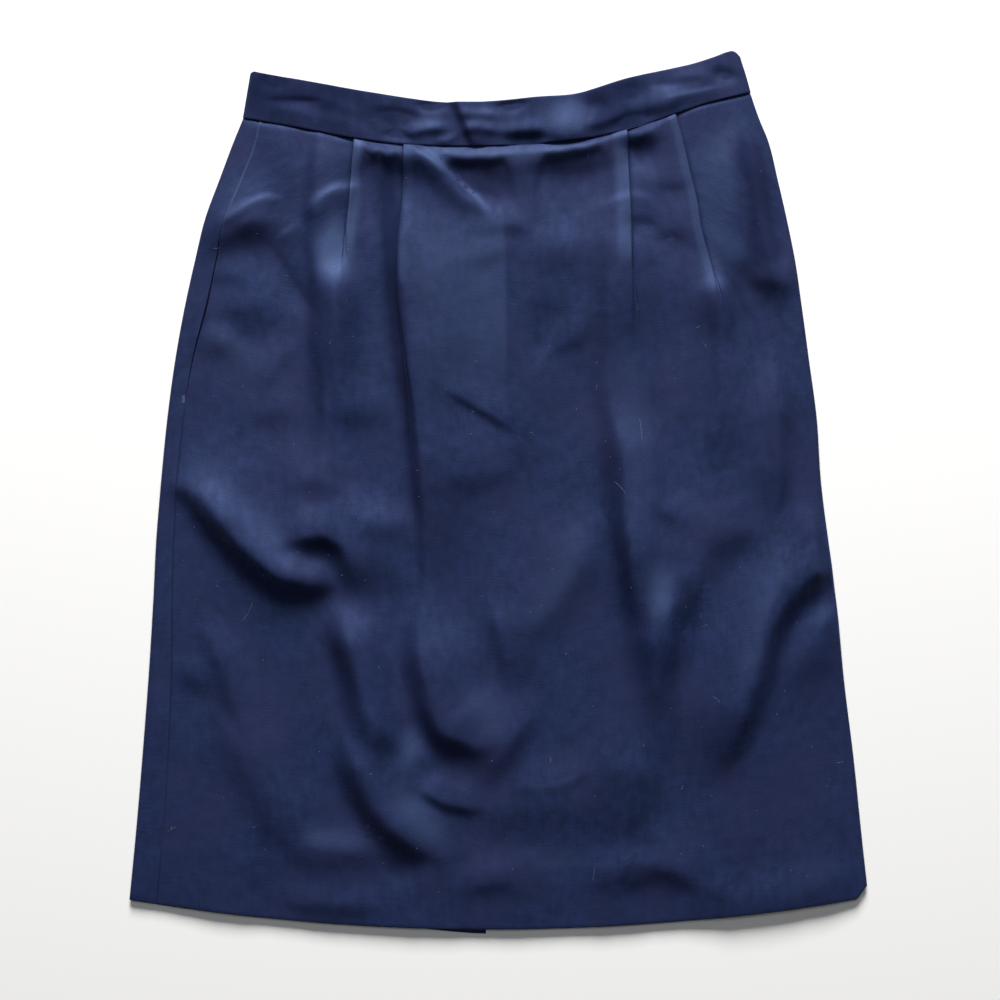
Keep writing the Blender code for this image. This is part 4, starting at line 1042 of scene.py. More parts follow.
# Painted highlights, above 0, and painted shade, below 0, on the band's face; its left end is painted
# darker.
BAND_SHINE_AND_SHADE = [
    (0.9, 12, 12, (38, 271), (48, 271), (60, 272)),
    (-0.9, 22, 22, 0.1, 0.4, (-186, 288), (-150, 284), (-120, 280), (-80, 274)),
    (-0.5, 9, 9, (-94, 271), (-76, 269), (-58, 270)),
    (-0.9, 9, 9, 0.3, 0.35, (66, 267), (82, 268), (104, 272)),
    (-0.8, 8, 8, (64, 281), (82, 286), (102, 290)),
    (-0.4, 7, 7, (6, 255), (20, 254), (34, 256)),
    (0.4, 4, 4, 0.3, 0.3, (-165, 278), (-130, 274), (-100, 268)),
    (0.5, 7, 7, (-72, 266), (-56, 265), (-42, 262)),
    (0.4, 5, 5, (-26, 265), (-10, 270), (5, 270)),
    (0.3, 4, 4, (118, 284), (140, 288), (162, 292)),
    (0.3, 9, 9, (104, 289), (118, 292), (146, 297)),
]
# The whole band a little darker and rougher than the skirt.
BAND_DARKER = -0.15


def make_band(material):
    """One closed loop of points at each station of the path, with the creases on its outer side."""
    x, z, lower, shows = band_path()
    side = np.arange(len(x))
    top_share = (x - WAIST_LEFT) / (WAIST_RIGHT - WAIST_LEFT)
    top_x = BAND_TOP_LEFT + (BAND_TOP_RIGHT - BAND_TOP_LEFT) * top_share
    top_y, foot_y = band_top(top_x) - lower, waist(x) + GAP
    way = np.stack([np.gradient(x), np.gradient(z)], axis=1)
    way /= np.linalg.norm(way, axis=1, keepdims=True)
    out = np.stack([-way[:, 1], way[:, 0]], axis=1)
    half = BAND / 2
    turn = np.linspace(0, math.pi, FOLD_POINTS + 2)[1:-1]
    face, inner = np.linspace(0, 1, FACE_POINTS), np.linspace(1, 0, INSIDE_POINTS)
    up = np.concatenate([face, np.ones(FOLD_POINTS), inner, np.zeros(FOLD_POINTS)])
    past = np.concatenate([0 * face, np.sin(turn), 0 * inner, -np.sin(turn)]) * half
    off = np.concatenate([1 + 0 * face, np.cos(turn), -1 + 0 * inner, -np.cos(turn)]) * half
    foot, tall = foot_y[:, None], (top_y - foot_y)[:, None]
    y = foot + half + (tall - BAND) * up + past
    share = (y - foot) / tall
    across = x[:, None] + (top_x - x)[:, None] * share
    bump = BAND_HEIGHT * relief(across, y, BAND_CREASES) + ripples(across, y, BAND_WAVES)
    bump = np.maximum(bump, -BAND_DENT * BAND) * shows[:, None] * (off > 0)
    offset = off + bump
    points = np.stack([across + out[:, :1] * offset, y, z[:, None] + out[:, 1:] * offset], axis=2)
    run = np.concatenate([[0], np.cumsum(np.hypot(np.diff(x), np.diff(z)))])
    profile = np.concatenate([[0], np.cumsum(np.hypot(np.diff(y[0]), np.diff(off)))])
    flat = np.stack(np.broadcast_arrays(run[:, None], profile), axis=2)
    print(f"waistband_cloth: run {run[-1]:.0f} mm, round its loop {profile[-1]:.0f} mm")
    faces = loop_faces(len(x), len(up))
    piece = add_piece("waistband_cloth", points.reshape(-1, 3), faces, material, flat)
    # Painted highlight and painted shade on the band's face, and the whole band a little darker.
    marks = relief(across, y, BAND_SHINE_AND_SHADE) * shows[:, None] + BAND_DARKER
    add_marks(piece, np.clip(marks, -1, 1))
    return piece


# %% [markdown]
# ## The back panels
# Two panels meet at the centre back. They lie flat on the table, except under the closure.
# Their creases are hollows, because the cloth can only give upwards where it lies on
# something hard.

# %% Creases and darts of the back
BACK_CREASES = [
    (1.5, 4, 14, 0.3, 0.35, (-205, 150), (-180, 120), (-150, 100)),
    (1.6, 12, 4.5, 0.25, 0.3, (-236, 14), (-205, -10), (-170, -38), (-120, -50)),
    (1.5, 5, 12, (-60, 60), (-80, 10), (-84, -60)),
    (1.4, 12, 5, (-210, -110), (-180, -160), (-160, -210)),
    (1.5, 4.5, 14, 0.3, 0.35, (-120, -110), (-90, -150), (-60, -170)),
    (1.2, 14, 6, (-60, -230), (-110, -245), (-160, -240)),
    (1.4, 12, 5, (60, 130), (74, 80), (70, 20)),
    (1.5, 5, 12, 0.3, 0.35, (200, 112), (168, 82), (130, 70)),
    (1.6, 5, 14, 0.25, 0.35, (230, -34), (196, -74), (178, -130)),
    (1.3, 12, 5, (50, -60), (80, -100), (86, -150)),
    (1.3, 5, 12, (200, -190), (160, -215), (110, -220)),
    (1.2, 14, 6, (40, -210), (70, -240), (110, -262)),
    (1.2, 9, 5, (-150, 214), (-134, 190), (-128, 160)),
    (1.1, 5, 9, (118, 222), (132, 196), (136, 164)),
]
BACK_CREASE_TOP, UNDER_BAG = 1.2, 0.15
BACK_WAVES = draw_waves(30, 10.0, 90.0, 0.005)
DARTS = table("x_top x_tip y_tip", [(-105, -98, 140), (-62, -66, 118), (45, 42, 118), (92, 84, 140)])
DART_DEPTH, DART_WIDTH, DART_FADE = 0.6, 0.9, (5.0, 25.0)
SEAM_ROLL, SEAM_ROLL_WIDTH = 0.5, 0.9


def back_face(x, y):
    """How far the underside of the back stands off the table."""
    creases = relief(x, y, BACK_CREASES) + np.maximum(ripples(x, y, BACK_WAVES), 0)
    calm = 1 - (1 - UNDER_BAG) * over_bag(x, y)
    height = closure_rise(x, y) + np.minimum(creases, BACK_CREASE_TOP) * calm
    for x_top, x_tip, y_tip in rows_of(DARTS):
        line = x_tip + (x_top - x_tip) * (y - y_tip) / (BACK_TOP_Y - y_tip)
        depth = DART_DEPTH * smooth(y_tip - DART_FADE[0], y_tip + DART_FADE[1], y)
        height = height + depth * np.exp(-(((x - line) / DART_WIDTH) ** 2))
    return height


print(len(BACK_CREASES), "creases and", len(DARTS["x_top"]), "darts in the back")

# %% Making the back
CENTRE_OFFSETS = np.array([0.0, 0.5, 1.3, 3.0, 8.0, 13.0])
CENTRE_ROLL = SEAM_ROLL * np.exp(-((CENTRE_OFFSETS / SEAM_ROLL_WIDTH) ** 2))
BACK_FILL, TOP_STRIP, BACK_STEP = 70, 9, 2
GAPE_WIDTH, STRIP_CROWDING = 3.0, 0.8
LEFT_PLAIN, RIGHT_PLAIN = 13, 4  # columns beside the centre back whose hem is one wall thick
VENT_TOP, VENT_LAP, VENT_SLANT, LAP_APART = -138.0, 45.0, 0.08, (0.02, 0.01)
VENT_SHARE = (BACK_TOP_Y - VENT_TOP) / BACK_LENGTH
LAP_COLUMNS = 12


def back_left_place(y):
    """From the centre back under the skirt, round the left edge and up to the side seam."""
    near = y[:, : len(CENTRE_OFFSETS)]
    stands_back = gape(near) * np.exp(-CENTRE_OFFSETS / GAPE_WIDTH)
    near = centre_back(near) - GAP / 2 - stands_back - CENTRE_OFFSETS
    turn_at = -(TURN_COLUMNS - 1 + TOP_STRIP)
    edge = y[:, turn_at - 1][:, None]
    last = left_edge(edge) + EDGE_TURN
    flat = np.hstack([near, between(near[:, -1:], last, BACK_FILL), last])
    turn = edge_turn(last, 0 * edge, 0 * edge, -1, TURN_COLUMNS)[0]
    top_y = y[:, -TOP_STRIP:]
    share = np.linspace(0, 1, TOP_STRIP) ** STRIP_CROWDING
    seam = left_edge(top_y) + seam_in(top_y) - SEAM_GAP
    start = left_edge(top_y) + EDGE_TURN
    top = start + (seam - start) * share
    across = np.hstack([flat, turn, top])
    return across, 0 * across


def make_back_left(material):
    """The left back: under the skirt, round the edge and on top as far as the side seam."""
    flat = len(CENTRE_OFFSETS) + BACK_FILL + 1
    columns = flat + TURN_COLUMNS - 1 + TOP_STRIP
    x, y, _ = settle(BACK_ROWS, columns, back_left_place, back_hem)
    under, top = slice(0, flat), slice(columns - TOP_STRIP, columns)
    z = np.zeros_like(x)
    z[:, under] = back_face(x[:, under], y[:, under]) + WOOL / 2
    z[:, : len(CENTRE_OFFSETS)] += CENTRE_ROLL
    z[:, top] = front_face(x[:, top], y[:, top]) - WOOL / 2
    z[:, top] += gathers(x[:, top], waist(x[:1, top]) - y[:, top])
    from_seam = x[:, -1:] - x[:, top]
    z[:, top] -= SEAM_DIP * np.exp(-((from_seam / SEAM_DIP_WIDTH) ** 2))
    first, last = z[:, flat - 1 : flat], z[:, columns - TOP_STRIP : columns - TOP_STRIP + 1]
    z[:, flat : columns - TOP_STRIP] = edge_turn(0, first, last, 1, TURN_COLUMNS)[1]
    down = np.concatenate([np.ones(flat), np.linspace(1, -1, TURN_COLUMNS - 1), -np.ones(TOP_STRIP)])
    middle = add_tuck_and_roll(x, y, z, down)
    inner = hem_wall(BACK_ROWS, (np.arange(columns) >= LEFT_PLAIN).astype(float))
    return add_shell("back_left_cloth", middle, WOOL, material, inner, BACK_STEP)


def back_right_place(y):
    """From the right side seam under the skirt to the centre back, and below the vent's top
    on over the left panel, inside the skirt."""
    share = row_shares(len(y))
    seam_y = y[:, :1]
    seam = right_edge(seam_y) - seam_in(seam_y) - GAP / 2
    near_y, lap_y = y[:, -LAP_COLUMNS - len(CENTRE_OFFSETS) : -LAP_COLUMNS], y[:, -LAP_COLUMNS:]
    near = centre_back(near_y) + GAP / 2 + gape(near_y) + CENTRE_OFFSETS[::-1]
    out = VENT_LAP * smooth(VENT_SHARE, VENT_SHARE + VENT_SLANT, share)
    lap = out * np.linspace(LAP_APART[1], 1, LAP_COLUMNS) + LAP_APART[0]
    lap = centre_back(lap_y) + GAP / 2 + gape(lap_y) - lap
    fill = y.shape[1] - 1 - LAP_COLUMNS - len(CENTRE_OFFSETS)
    across = np.hstack([seam, between(seam, near[:, :1], fill), near, lap])
    return across, 0 * across


def make_back_right(material):
    """The right back, whose last columns are the lap inside the vent."""
    columns = 1 + BACK_FILL + len(CENTRE_OFFSETS) + LAP_COLUMNS
    x, y, _ = settle(BACK_ROWS, columns, back_right_place, front_hem)
    share = row_shares(BACK_ROWS)
    z = back_face(x, y) + WOOL / 2
    near = slice(columns - LAP_COLUMNS - len(CENTRE_OFFSETS), columns - LAP_COLUMNS)
    z[:, near] += CENTRE_ROLL[::-1]
    z[:, -LAP_COLUMNS:] += SEAM_ROLL + (CLOTH + GAP - SEAM_ROLL) * (share >= VENT_SHARE)
    middle = add_tuck_and_roll(x, y, z, np.ones(columns))
    inner = hem_wall(BACK_ROWS, (np.arange(columns) < columns - LAP_COLUMNS - RIGHT_PLAIN).astype(float))
    return add_shell("back_right_cloth", middle, WOOL, material, inner, BACK_STEP)


# %% [markdown]
# ## Materials
# A material is a small graph of nodes. `add_node` adds one and fills its sockets with numbers
# or with what other nodes give. The sums that a weave needs are kept in node groups, which
# give out only what changes over the surface: a colour, a roughness and a normal.
# Lengths in the groups are millimetres of flat cloth.


# %% Tools for materials
def add_node(tree, kind, sockets, **settings):
    """A node with its settings, and its sockets filled by name or number."""
    node = tree.nodes.new("ShaderNode" + kind)
    for key, value in settings.items():
        setattr(node, key, value)
    for key, value in sockets.items():
        if isinstance(value, bpy.types.NodeSocket):
            tree.links.new(value, node.inputs[key])
        else:
            node.inputs[key].default_value = value
    return node


def calculate(tree, operation, *values):
    """What a Math node gives for these values."""
    return add_node(tree, "Math", dict(enumerate(values)), operation=operation).outputs[0]


def mix_colours(tree, share, first, second):
    """The first colour, and as much of the second as the share says."""
    node = add_node(tree, "Mix", {0: share, 6: first, 7: second}, data_type="RGBA")
    return node.outputs[2]


def noise(tree, place, stretch, detail=2.0):
    """Noise from about 0.25 to 0.75, with blots about as long and wide as stretch says, in
    the units of the place."""
    moved = add_node(tree, "VectorMath", {0: place, 1: stretch}, operation="DIVIDE")
    found = {"Vector": moved.outputs[0], "Scale": 1.0, "Detail": detail}
    return add_node(tree, "TexNoise", found).outputs[0]


def wave(tree, place, angle, pitch):
    """A sine wave from −1 to 1, with its crests a pitch apart along the angle, degrees."""
    turn, often = math.radians(angle), math.tau / pitch
    way = (math.cos(turn) * often, math.sin(turn) * often, 0.0)
    run = add_node(tree, "VectorMath", {0: place, 1: way}, operation="DOT_PRODUCT")
    return calculate(tree, "SINE", run.outputs["Value"])


def weighed(tree, values, total=0.0, **weights):
    """The sum of the named values, each times its weight, and of the total given."""
    for name, weight in weights.items():
        total = calculate(tree, "MULTIPLY_ADD", values[name], weight, total)
    return total


def new_group(name, **inputs):
    """An empty node group that takes inputs of the kinds given, and gives out a surface: its
    colour, roughness and normal."""
    group = bpy.data.node_groups.new(name, "ShaderNodeTree")
    for socket, kind in inputs.items():
        group.interface.new_socket(socket, in_out="INPUT", socket_type="NodeSocket" + kind)
    for socket, kind in (("Base Color", "Color"), ("Roughness", "Float"), ("Normal", "Vector")):
        group.interface.new_socket(socket, in_out="OUTPUT", socket_type="NodeSocket" + kind)
    return group


def flat_place(group):
    """The place on the flat cloth, in millimetres."""
    flat = add_node(group, "UVMap", {}, uv_map="cloth").outputs[0]
    return add_node(group, "VectorMath", {0: flat, "Scale": 1 / MM}, operation="SCALE").outputs[0]


def give_out(group, colour, roughness, height):
    """The finished group. Its normal comes from a height in millimetres."""
    bump = add_node(group, "Bump", {"Strength": 1.0, "Distance": MM, "Height": height})
    end = group.nodes.new("NodeGroupOutput")
    for socket, value in zip(end.inputs, (colour, roughness, bump.outputs[0]), strict=False):
        group.links.new(value, socket)
    return group


def new_material(name, group=None, given=None, **sockets):
    """A Principled material. A group takes the values given, and its outputs go to the
    sockets of the same name. The constants are set on the shader itself."""
    material = bpy.data.materials.new(name)
    material.use_nodes = True
    tree = material.node_tree
    shader = tree.nodes["Principled BSDF"]
    for key, value in sockets.items():
        shader.inputs[key.replace("_", " ")].default_value = value
    if group:
        node = tree.nodes.new("ShaderNodeGroup")
        node.node_tree = group
        for key, value in (given or {}).items():
            node.inputs[key].default_value = value
        for output in node.outputs:
            tree.links.new(output, shader.inputs[output.name])
    return material


# %% [markdown]
# ## Worsted wool
# Worsted is a twill: fine ribs that climb steeply to the right, each rib cut into stitches.
# Its yarns are not quite even, so there are faint thick lines across the cloth and along it.
# The colour shifts a little from place to place, and the nap is a fine grain over it all.
# Painted highlights make it paler and the ironed nap smoother; painted shade makes it darker.

# %% The wool's weave
TWILL_ANGLE, TWILL_PITCH, STITCH_PITCH = -27.0, 0.62, 0.8
NAVY_DARK, NAVY_LIGHT = (0.0028, 0.0058, 0.027, 1.0), (0.0102, 0.0175, 0.066, 1.0)
# The last colour is the painted highlight's, partly the shine of nap that the iron laid flat.
NAVY_WARM, NAVY_SHINE = (0.0112, 0.0125, 0.047, 1.0), (0.032, 0.050, 0.118, 1.0)


WOOL_NOISES = {  # length across and along, mm, and detail
    "slubs": ((22.0, 0.8, 1.0), 2.0),
    "warps": ((0.9, 60.0, 1.0), 2.0),
    "grain": ((0.8, 0.8, 1.0), 3.0),
    "blots": ((26.0, 34.0, 1.0), 2.0),
    "mottle": ((7.0, 10.0, 1.0), 3.0),
    "hues": ((60.0, 80.0, 1.0), 4.0),
}
# Marks below 0 darken the tone: painted shade.
TONE = {"ribs": 0.04, "slubs": 1.0, "warps": 0.6, "grain": 1.3, "blots": 0.7, "mottle": 1.4, "shade_and_raised_nap": 0.8}
ROUGHNESS = {"grain": 0.12, "mottle": -0.24, "shade_and_raised_nap": -0.28, "flattened": -0.08}
HEIGHT = {"ribs": 0.006, "bumps": 0.004, "slubs": 0.06, "warps": 0.04, "grain": 0.15, "mottle": 0.25}
TONE_LESS, ROUGHNESS_BASE, WARMTH = 2.0, 0.76, {1: 0.44, 2: 0.64, 3: 0.0, 4: 0.7}


def make_worsted():
    """Colour, roughness and height are weighed sums of the ribs, the noises and the marks."""
    group = new_group("worsted")
    place = flat_place(group)
    has = {name: noise(group, place, *sizes) for name, sizes in WOOL_NOISES.items()}
    has["ribs"] = wave(group, place, TWILL_ANGLE, TWILL_PITCH)
    stitches = wave(group, place, TWILL_ANGLE + 90, STITCH_PITCH)
    has["bumps"] = calculate(group, "MULTIPLY", has["ribs"], stitches)
    # The marks: painted highlight above 0, painted shade below 0, partly the nap.
    mark = add_node(group, "Attribute", {}, attribute_name="nap_and_painted_light").outputs["Fac"]
    has["shade_and_raised_nap"] = calculate(group, "MINIMUM", mark, 0.0)
    has["flattened"] = calculate(group, "MAXIMUM", mark, 0.0)
    tone = add_node(group, "Clamp", {"Value": weighed(group, has, -TONE_LESS, **TONE)}).outputs[0]
    colour = mix_colours(group, tone, NAVY_DARK, NAVY_LIGHT)
    warmth = add_node(group, "MapRange", {"Value": has["hues"], **WARMTH}).outputs[0]
    colour = mix_colours(group, warmth, colour, NAVY_WARM)
    # The painted highlights mix in a paler navy.
    colour = mix_colours(group, mark, colour, NAVY_SHINE)
    roughness = weighed(group, has, ROUGHNESS_BASE, **ROUGHNESS)
    return give_out(group, colour, roughness, weighed(group, has, **HEIGHT))


wool = new_material(
    "navy_wool_cloth", make_worsted(), Specular_IOR_Level=0.6, Specular_Tint=(0.35, 0.49, 1.0, 1.0)
)
front, band = make_front(wool), make_band(wool)
back_left, back_right = make_back_left(wool), make_back_right(wool)

# %% [markdown]
# ## Threads
# Everything that is thin and round here is a tube along a line of points: stitches, the
# teeth of the zip, hairs of lint. Many of them make one mesh, because a thousand small
# objects are slow to handle and one mesh is not.


# %% Tubes
SIDEWAYS = (0.13, 0.21, 0.97)  # a heading that no thread here follows


def tube(line, radius, sides):
    """Rings of points round a line, and the faces of the closed tube."""
    line = np.array(line, float)
    way = np.gradient(line, axis=0)
    way /= np.linalg.norm(way, axis=1, keepdims=True)
    side = np.cross(way, SIDEWAYS)
    side /= np.linalg.norm(side, axis=1, keepdims=True)
    up = np.cross(side, way)
    turn = (np.arange(sides) * math.tau / sides)[None, :, None]
    points = line[:, None] + radius * (np.cos(turn) * side[:, None] + np.sin(turn) * up[:, None])
    return points.reshape(-1, 3), loop_faces(len(line), sides)


def add_tubes(name, lines, radius, material, sides=6):
    """One mesh of tubes along all the lines."""
    all_points, all_faces, first = [], [], 0
    for line in lines:
        points, faces = tube(line, radius, sides)
        all_points.append(points)
        all_faces += [[first + i for i in face] for face in faces]
        first += len(points)
    return add_piece(name, np.concatenate(all_points), all_faces, material)


# %% [markdown]
# ## Cotton, tape, lacquer, resin and thread
# The small parts get materials of their own. The pocketing is a plain weave, over and under.
# The zip's tape is a herringbone: a twill whose ribs turn every few millimetres. The slider
# is lacquered metal, the button is cast resin with clouds in it, and the thread is twisted.
# Faint clouds suit all the last ones, so they share one group, each with values of its own.

# %% Weaves of the small parts
COTTON_PITCH, COTTON_SLUBS, COTTON_ROUGH = 0.5, (9.0, 0.6, 1.0), 0.7
COTTON_DARK, COTTON_LIGHT = (0.004, 0.006, 0.018, 1.0), (0.02, 0.028, 0.075, 1.0)
TAPE_PITCH, TAPE_TURN, TAPE_FUZZ, TAPE_ROUGH = 0.7, 4.0, (0.6, 0.6, 1.0), 0.55
TAPE_DARK, TAPE_LIGHT = (0.003, 0.005, 0.017, 1.0), (0.012, 0.018, 0.052, 1.0)


def make_cotton():
    """A plain weave: the product of two waves at right angles, over and under in turn."""
    group = new_group("plain_weave")
    place = flat_place(group)
    over, under = wave(group, place, 0, COTTON_PITCH), wave(group, place, 90, COTTON_PITCH)
    has = {"weave": calculate(group, "MULTIPLY", over, under), "slubs": noise(group, place, COTTON_SLUBS)}
    tone = weighed(group, has, weave=0.15, slubs=1.0)
    roughness = weighed(group, has, COTTON_ROUGH, slubs=0.2, weave=0.03)
    height = weighed(group, has, weave=0.02, slubs=0.05)
    return give_out(group, mix_colours(group, tone, COTTON_DARK, COTTON_LIGHT), roughness, height)


def make_herringbone():
    """Ribs whose slope changes sign with the wave across the tape."""
    group = new_group("herringbone")
    place = flat_place(group)
    across = add_node(group, "SeparateXYZ", {0: place})
    zigzag = calculate(group, "PINGPONG", across.outputs[0], TAPE_TURN / 2)
    run = calculate(group, "ADD", zigzag, across.outputs[1])
    ribs = calculate(group, "SINE", calculate(group, "MULTIPLY", run, math.tau / TAPE_PITCH))
    has = {"ribs": ribs, "fuzz": noise(group, place, TAPE_FUZZ)}
    tone = weighed(group, has, ribs=0.3, fuzz=1.0)
    roughness, height = weighed(group, has, TAPE_ROUGH, fuzz=0.2), weighed(group, has, ribs=0.05, fuzz=0.04)
    return give_out(group, mix_colours(group, tone, TAPE_DARK, TAPE_LIGHT), roughness, height)


CLOUD_DETAIL, CLOUD_LOW, CLOUD_HIGH = 4.0, 0.3, 0.7


def make_clouds():
    """Clouds of two colours in an object's own coordinates, which also change its roughness
    by as much as Uneven says. Size is in metres, and the height in millimetres."""
    kinds = {"Dark": "Color", "Light": "Color", "Size": "Vector"}
    group = new_group("clouds", **kinds, Smoothest="Float", Uneven="Float", Height="Float")
    given = group.nodes.new("NodeGroupInput").outputs
    place = add_node(group, "TexCoord", {}).outputs["Object"]
    clouds = noise(group, place, given["Size"], CLOUD_DETAIL)
    share = add_node(group, "MapRange", {"Value": clouds, 1: CLOUD_LOW, 2: CLOUD_HIGH}).outputs[0]
    colour = mix_colours(group, share, given["Dark"], given["Light"])
    roughness = calculate(group, "MULTIPLY_ADD", clouds, given["Uneven"], given["Smoothest"])
    return give_out(group, colour, roughness, calculate(group, "MULTIPLY", clouds, given["Height"]))


clouds = make_clouds()


def cloudy(name, dark, light, size, rough, uneven, height, **sockets):
    """A material with the clouds in it: two colours, the clouds' size, mm, the roughness and
    how uneven it is, and the clouds' height, mm."""
    size = tuple(length * MM for length in size)
    given = {"Dark": (*dark, 1.0), "Light": (*light, 1.0), "Size": size, "Height": height}
    given |= {"Smoothest": rough - uneven / 2, "Uneven": uneven}
    return new_material(name, clouds, given, **sockets)


BLACK_NAVY, TWIST = (0.004, 0.006, 0.018), (0.15, 0.3, 0.15)
cotton = new_material("pocketing", make_cotton(), Specular_IOR_Level=0.3)
tape_weave = new_material("zip_tape_weave", make_herringbone(), Specular_IOR_Level=0.35)
thread = cloudy(
    "sewing_thread", (0.004, 0.006, 0.02), (0.016, 0.023, 0.07), TWIST, 0.5, 0.2, 0.03, Sheen_Weight=0.2
)
pale_thread = cloudy("bar_tack_thread", (0.03, 0.045, 0.11), (0.07, 0.10, 0.22), TWIST, 0.6, 0.2, 0.03)
fluff = cloudy("lint_fibre", (0.07, 0.09, 0.15), (0.26, 0.28, 0.36), (0.5, 0.5, 0.5), 0.8, 0.1, 0.01)
coil = cloudy("zip_coil_nylon", BLACK_NAVY, (0.009, 0.013, 0.036), (1, 1, 1), 0.32, 0.1, 0.004)
lacquer = cloudy(
    "zip_lacquer", (0.006, 0.009, 0.024), (0.011, 0.016, 0.042), (3, 3, 3), 0.3, 0.15, 0.006,
    Metallic=0.6, Coat_Weight=0.5, Coat_Roughness=0.12,
)
resin = cloudy(
    "button_resin", BLACK_NAVY, (0.014, 0.02, 0.052), (2.5, 6, 2), 0.22, 0.08, 0.003,
    Coat_Weight=0.4, Coat_Roughness=0.08, IOR=1.55,
)
print("materials:", ", ".join(material.name for material in bpy.data.materials))

# %% [markdown]
# ## The pocket
# The pocket bag lies between the back and the front, with its edge along the side seam. Only
# its upper edge would be seen, through the pocket mouth. A short bar of close stitches ends
# the mouth, so that a hand doesn't tear it open.

# %% Pocket bag and bar tack
BAG_ROWS, BAG_COLUMNS, BAG_STEP, BAG_WALL, BAG_Z = 44, 26, 2, 0.6, 1.6
BAG_CORNER, BAG_FROM_SEAM, BAG_FROM_WAIST = 45.0, 1.0, 2.0
BAG_WAVES, BAG_RIPPLE, BAG_NARROWS = draw_waves(8, 25.0, 90.0, 0.006), 0.2, 1.5


def make_pocket_bag(material):
    """A flat bag, rounded at its lower corners."""
    down = np.linspace(0, 1, BAG_ROWS)[:, None]
    share = np.linspace(0, 1, BAG_COLUMNS)
    y = BACK_TOP_Y + (BAG_BOTTOM - BACK_TOP_Y) * down * np.ones(BAG_COLUMNS)
    for _ in range(SETTLE):
        reach = np.clip(1 - (y - BAG_BOTTOM) / BAG_CORNER, 0, 1)
        corner = BAG_CORNER * (1 - np.sqrt(1 - reach**2))
        first = left_edge(y) + seam_in(y) + BAG_FROM_SEAM + corner / 2
        x = first + (BAG_WIDTH - BAG_NARROWS * corner) * share
        y = (waist(x[0]) - BAG_FROM_WAIST) * (1 - down) + BAG_BOTTOM * down
    z = BAG_Z + closure_rise(x, y) + np.clip(ripples(x, y, BAG_WAVES), 0, BAG_RIPPLE)
    return add_shell("pocket_bag_cloth", np.stack([x, y, z], axis=2), BAG_WALL, material, row_step=BAG_STEP)


bag = make_pocket_bag(cotton)

TACK_X, TACK_TOP, TACK_BOTTOM, TACK_COUNT, TACK_WIDTH = -227.4, 69.0, 64.0, 13, 2.2
TACK_SLANT, TACK_POINTS, THREAD_RADIUS, THREAD_RISE = 0.05, 5, 0.16, 0.6
ABOVE_ALL = 100.0


def find_top(*pieces):
    """What gives the height of the highest of these pieces at a place on the plan."""
    trees = [BVHTree.FromPolygons([v.co.copy() for v in p.data.vertices],
                                  [tuple(f.vertices) for f in p.data.polygons]) for p in pieces]

    def top(x, y):
        hits = [tree.ray_cast(Vector((x, y, ABOVE_ALL)) * MM, Vector((0, 0, -1))) for tree in trees]
        return max((hit[0].z / MM for hit in hits if hit[0]), default=0.0)

    return top


top_of_cloth = find_top(front, back_left, band)


def lay(points, above):
    """The points at a height above the cloth."""
    return [(x, y, top_of_cloth(x, y) + above) for x, y in points]


def make_tack():
    """Close stitches across the foot of the pocket mouth."""
    lines = []
    for y in np.linspace(TACK_TOP, TACK_BOTTOM, TACK_COUNT):
        across = np.linspace(-TACK_WIDTH / 2, TACK_WIDTH / 2, TACK_POINTS)
        places = [(TACK_X + x, y + TACK_SLANT * x) for x in across]
        lines.append(lay(places, THREAD_RADIUS * THREAD_RISE))
    return lines


tack = add_tubes("pocket_bar_tack", make_tack(), THREAD_RADIUS, pale_thread)

# %% [markdown]
# ## The zip
# Each tape is sewn inside one edge of the centre back seam, and stands back where the slider
# is. A coil of teeth runs down both edges, one tooth from the left and the next from the right.

# %% Tapes and teeth
ZIP_LENGTH, TAPE_WIDTH, TAPE_WALL, TAPE_Z = 180.0, 12.0, 0.5, 1.8
TAPE_EDGE, TAPE_NOTCH, NOTCH_INNER, NOTCH_OUTER = 0.5, 4.8, 7.5, 19.5
TAPE_ROWS, TAPE_COLUMNS, TAPE_STEP, TAPE_SHORT = 90, 7, 3, 2.0
TOOTH_PITCH, TOOTH_OUT, TOOTH_IN, TOOTH_RADIUS, TOOTH_RISE = 1.5, 2.3, 0.7, 0.3, 0.45
FIRST_TOOTH, LAST_TOOTH, TOOTH_BEND, TOOTH_FOOT, TOOTH_TIP = 6.0, 4.0, 0.55, 0.15, 0.1


def tape_edge(y):
    """How far the tape's inner edge is from the centre line."""
    return TAPE_EDGE + (TAPE_NOTCH - TAPE_EDGE) * smooth(NOTCH_OUTER, NOTCH_INNER, abs(SLIDER_Y - y))


def make_tape(name, side, material):
    """A flat strip whose inner edge stands back round the slider."""
    y = np.linspace(BACK_TOP_Y - GAP, BACK_TOP_Y - ZIP_LENGTH + TAPE_SHORT, TAPE_ROWS)[:, None]
    away = tape_edge(y) + (TAPE_WIDTH - tape_edge(y)) * np.linspace(0, 1, TAPE_COLUMNS)
    x = (centre_back(y) + side * away)[:, ::side]
    z = TAPE_Z + closure_rise(x, y)
    return add_shell(name, np.stack([x, y + 0 * x, z], axis=2), TAPE_WALL, material, row_step=TAPE_STEP)


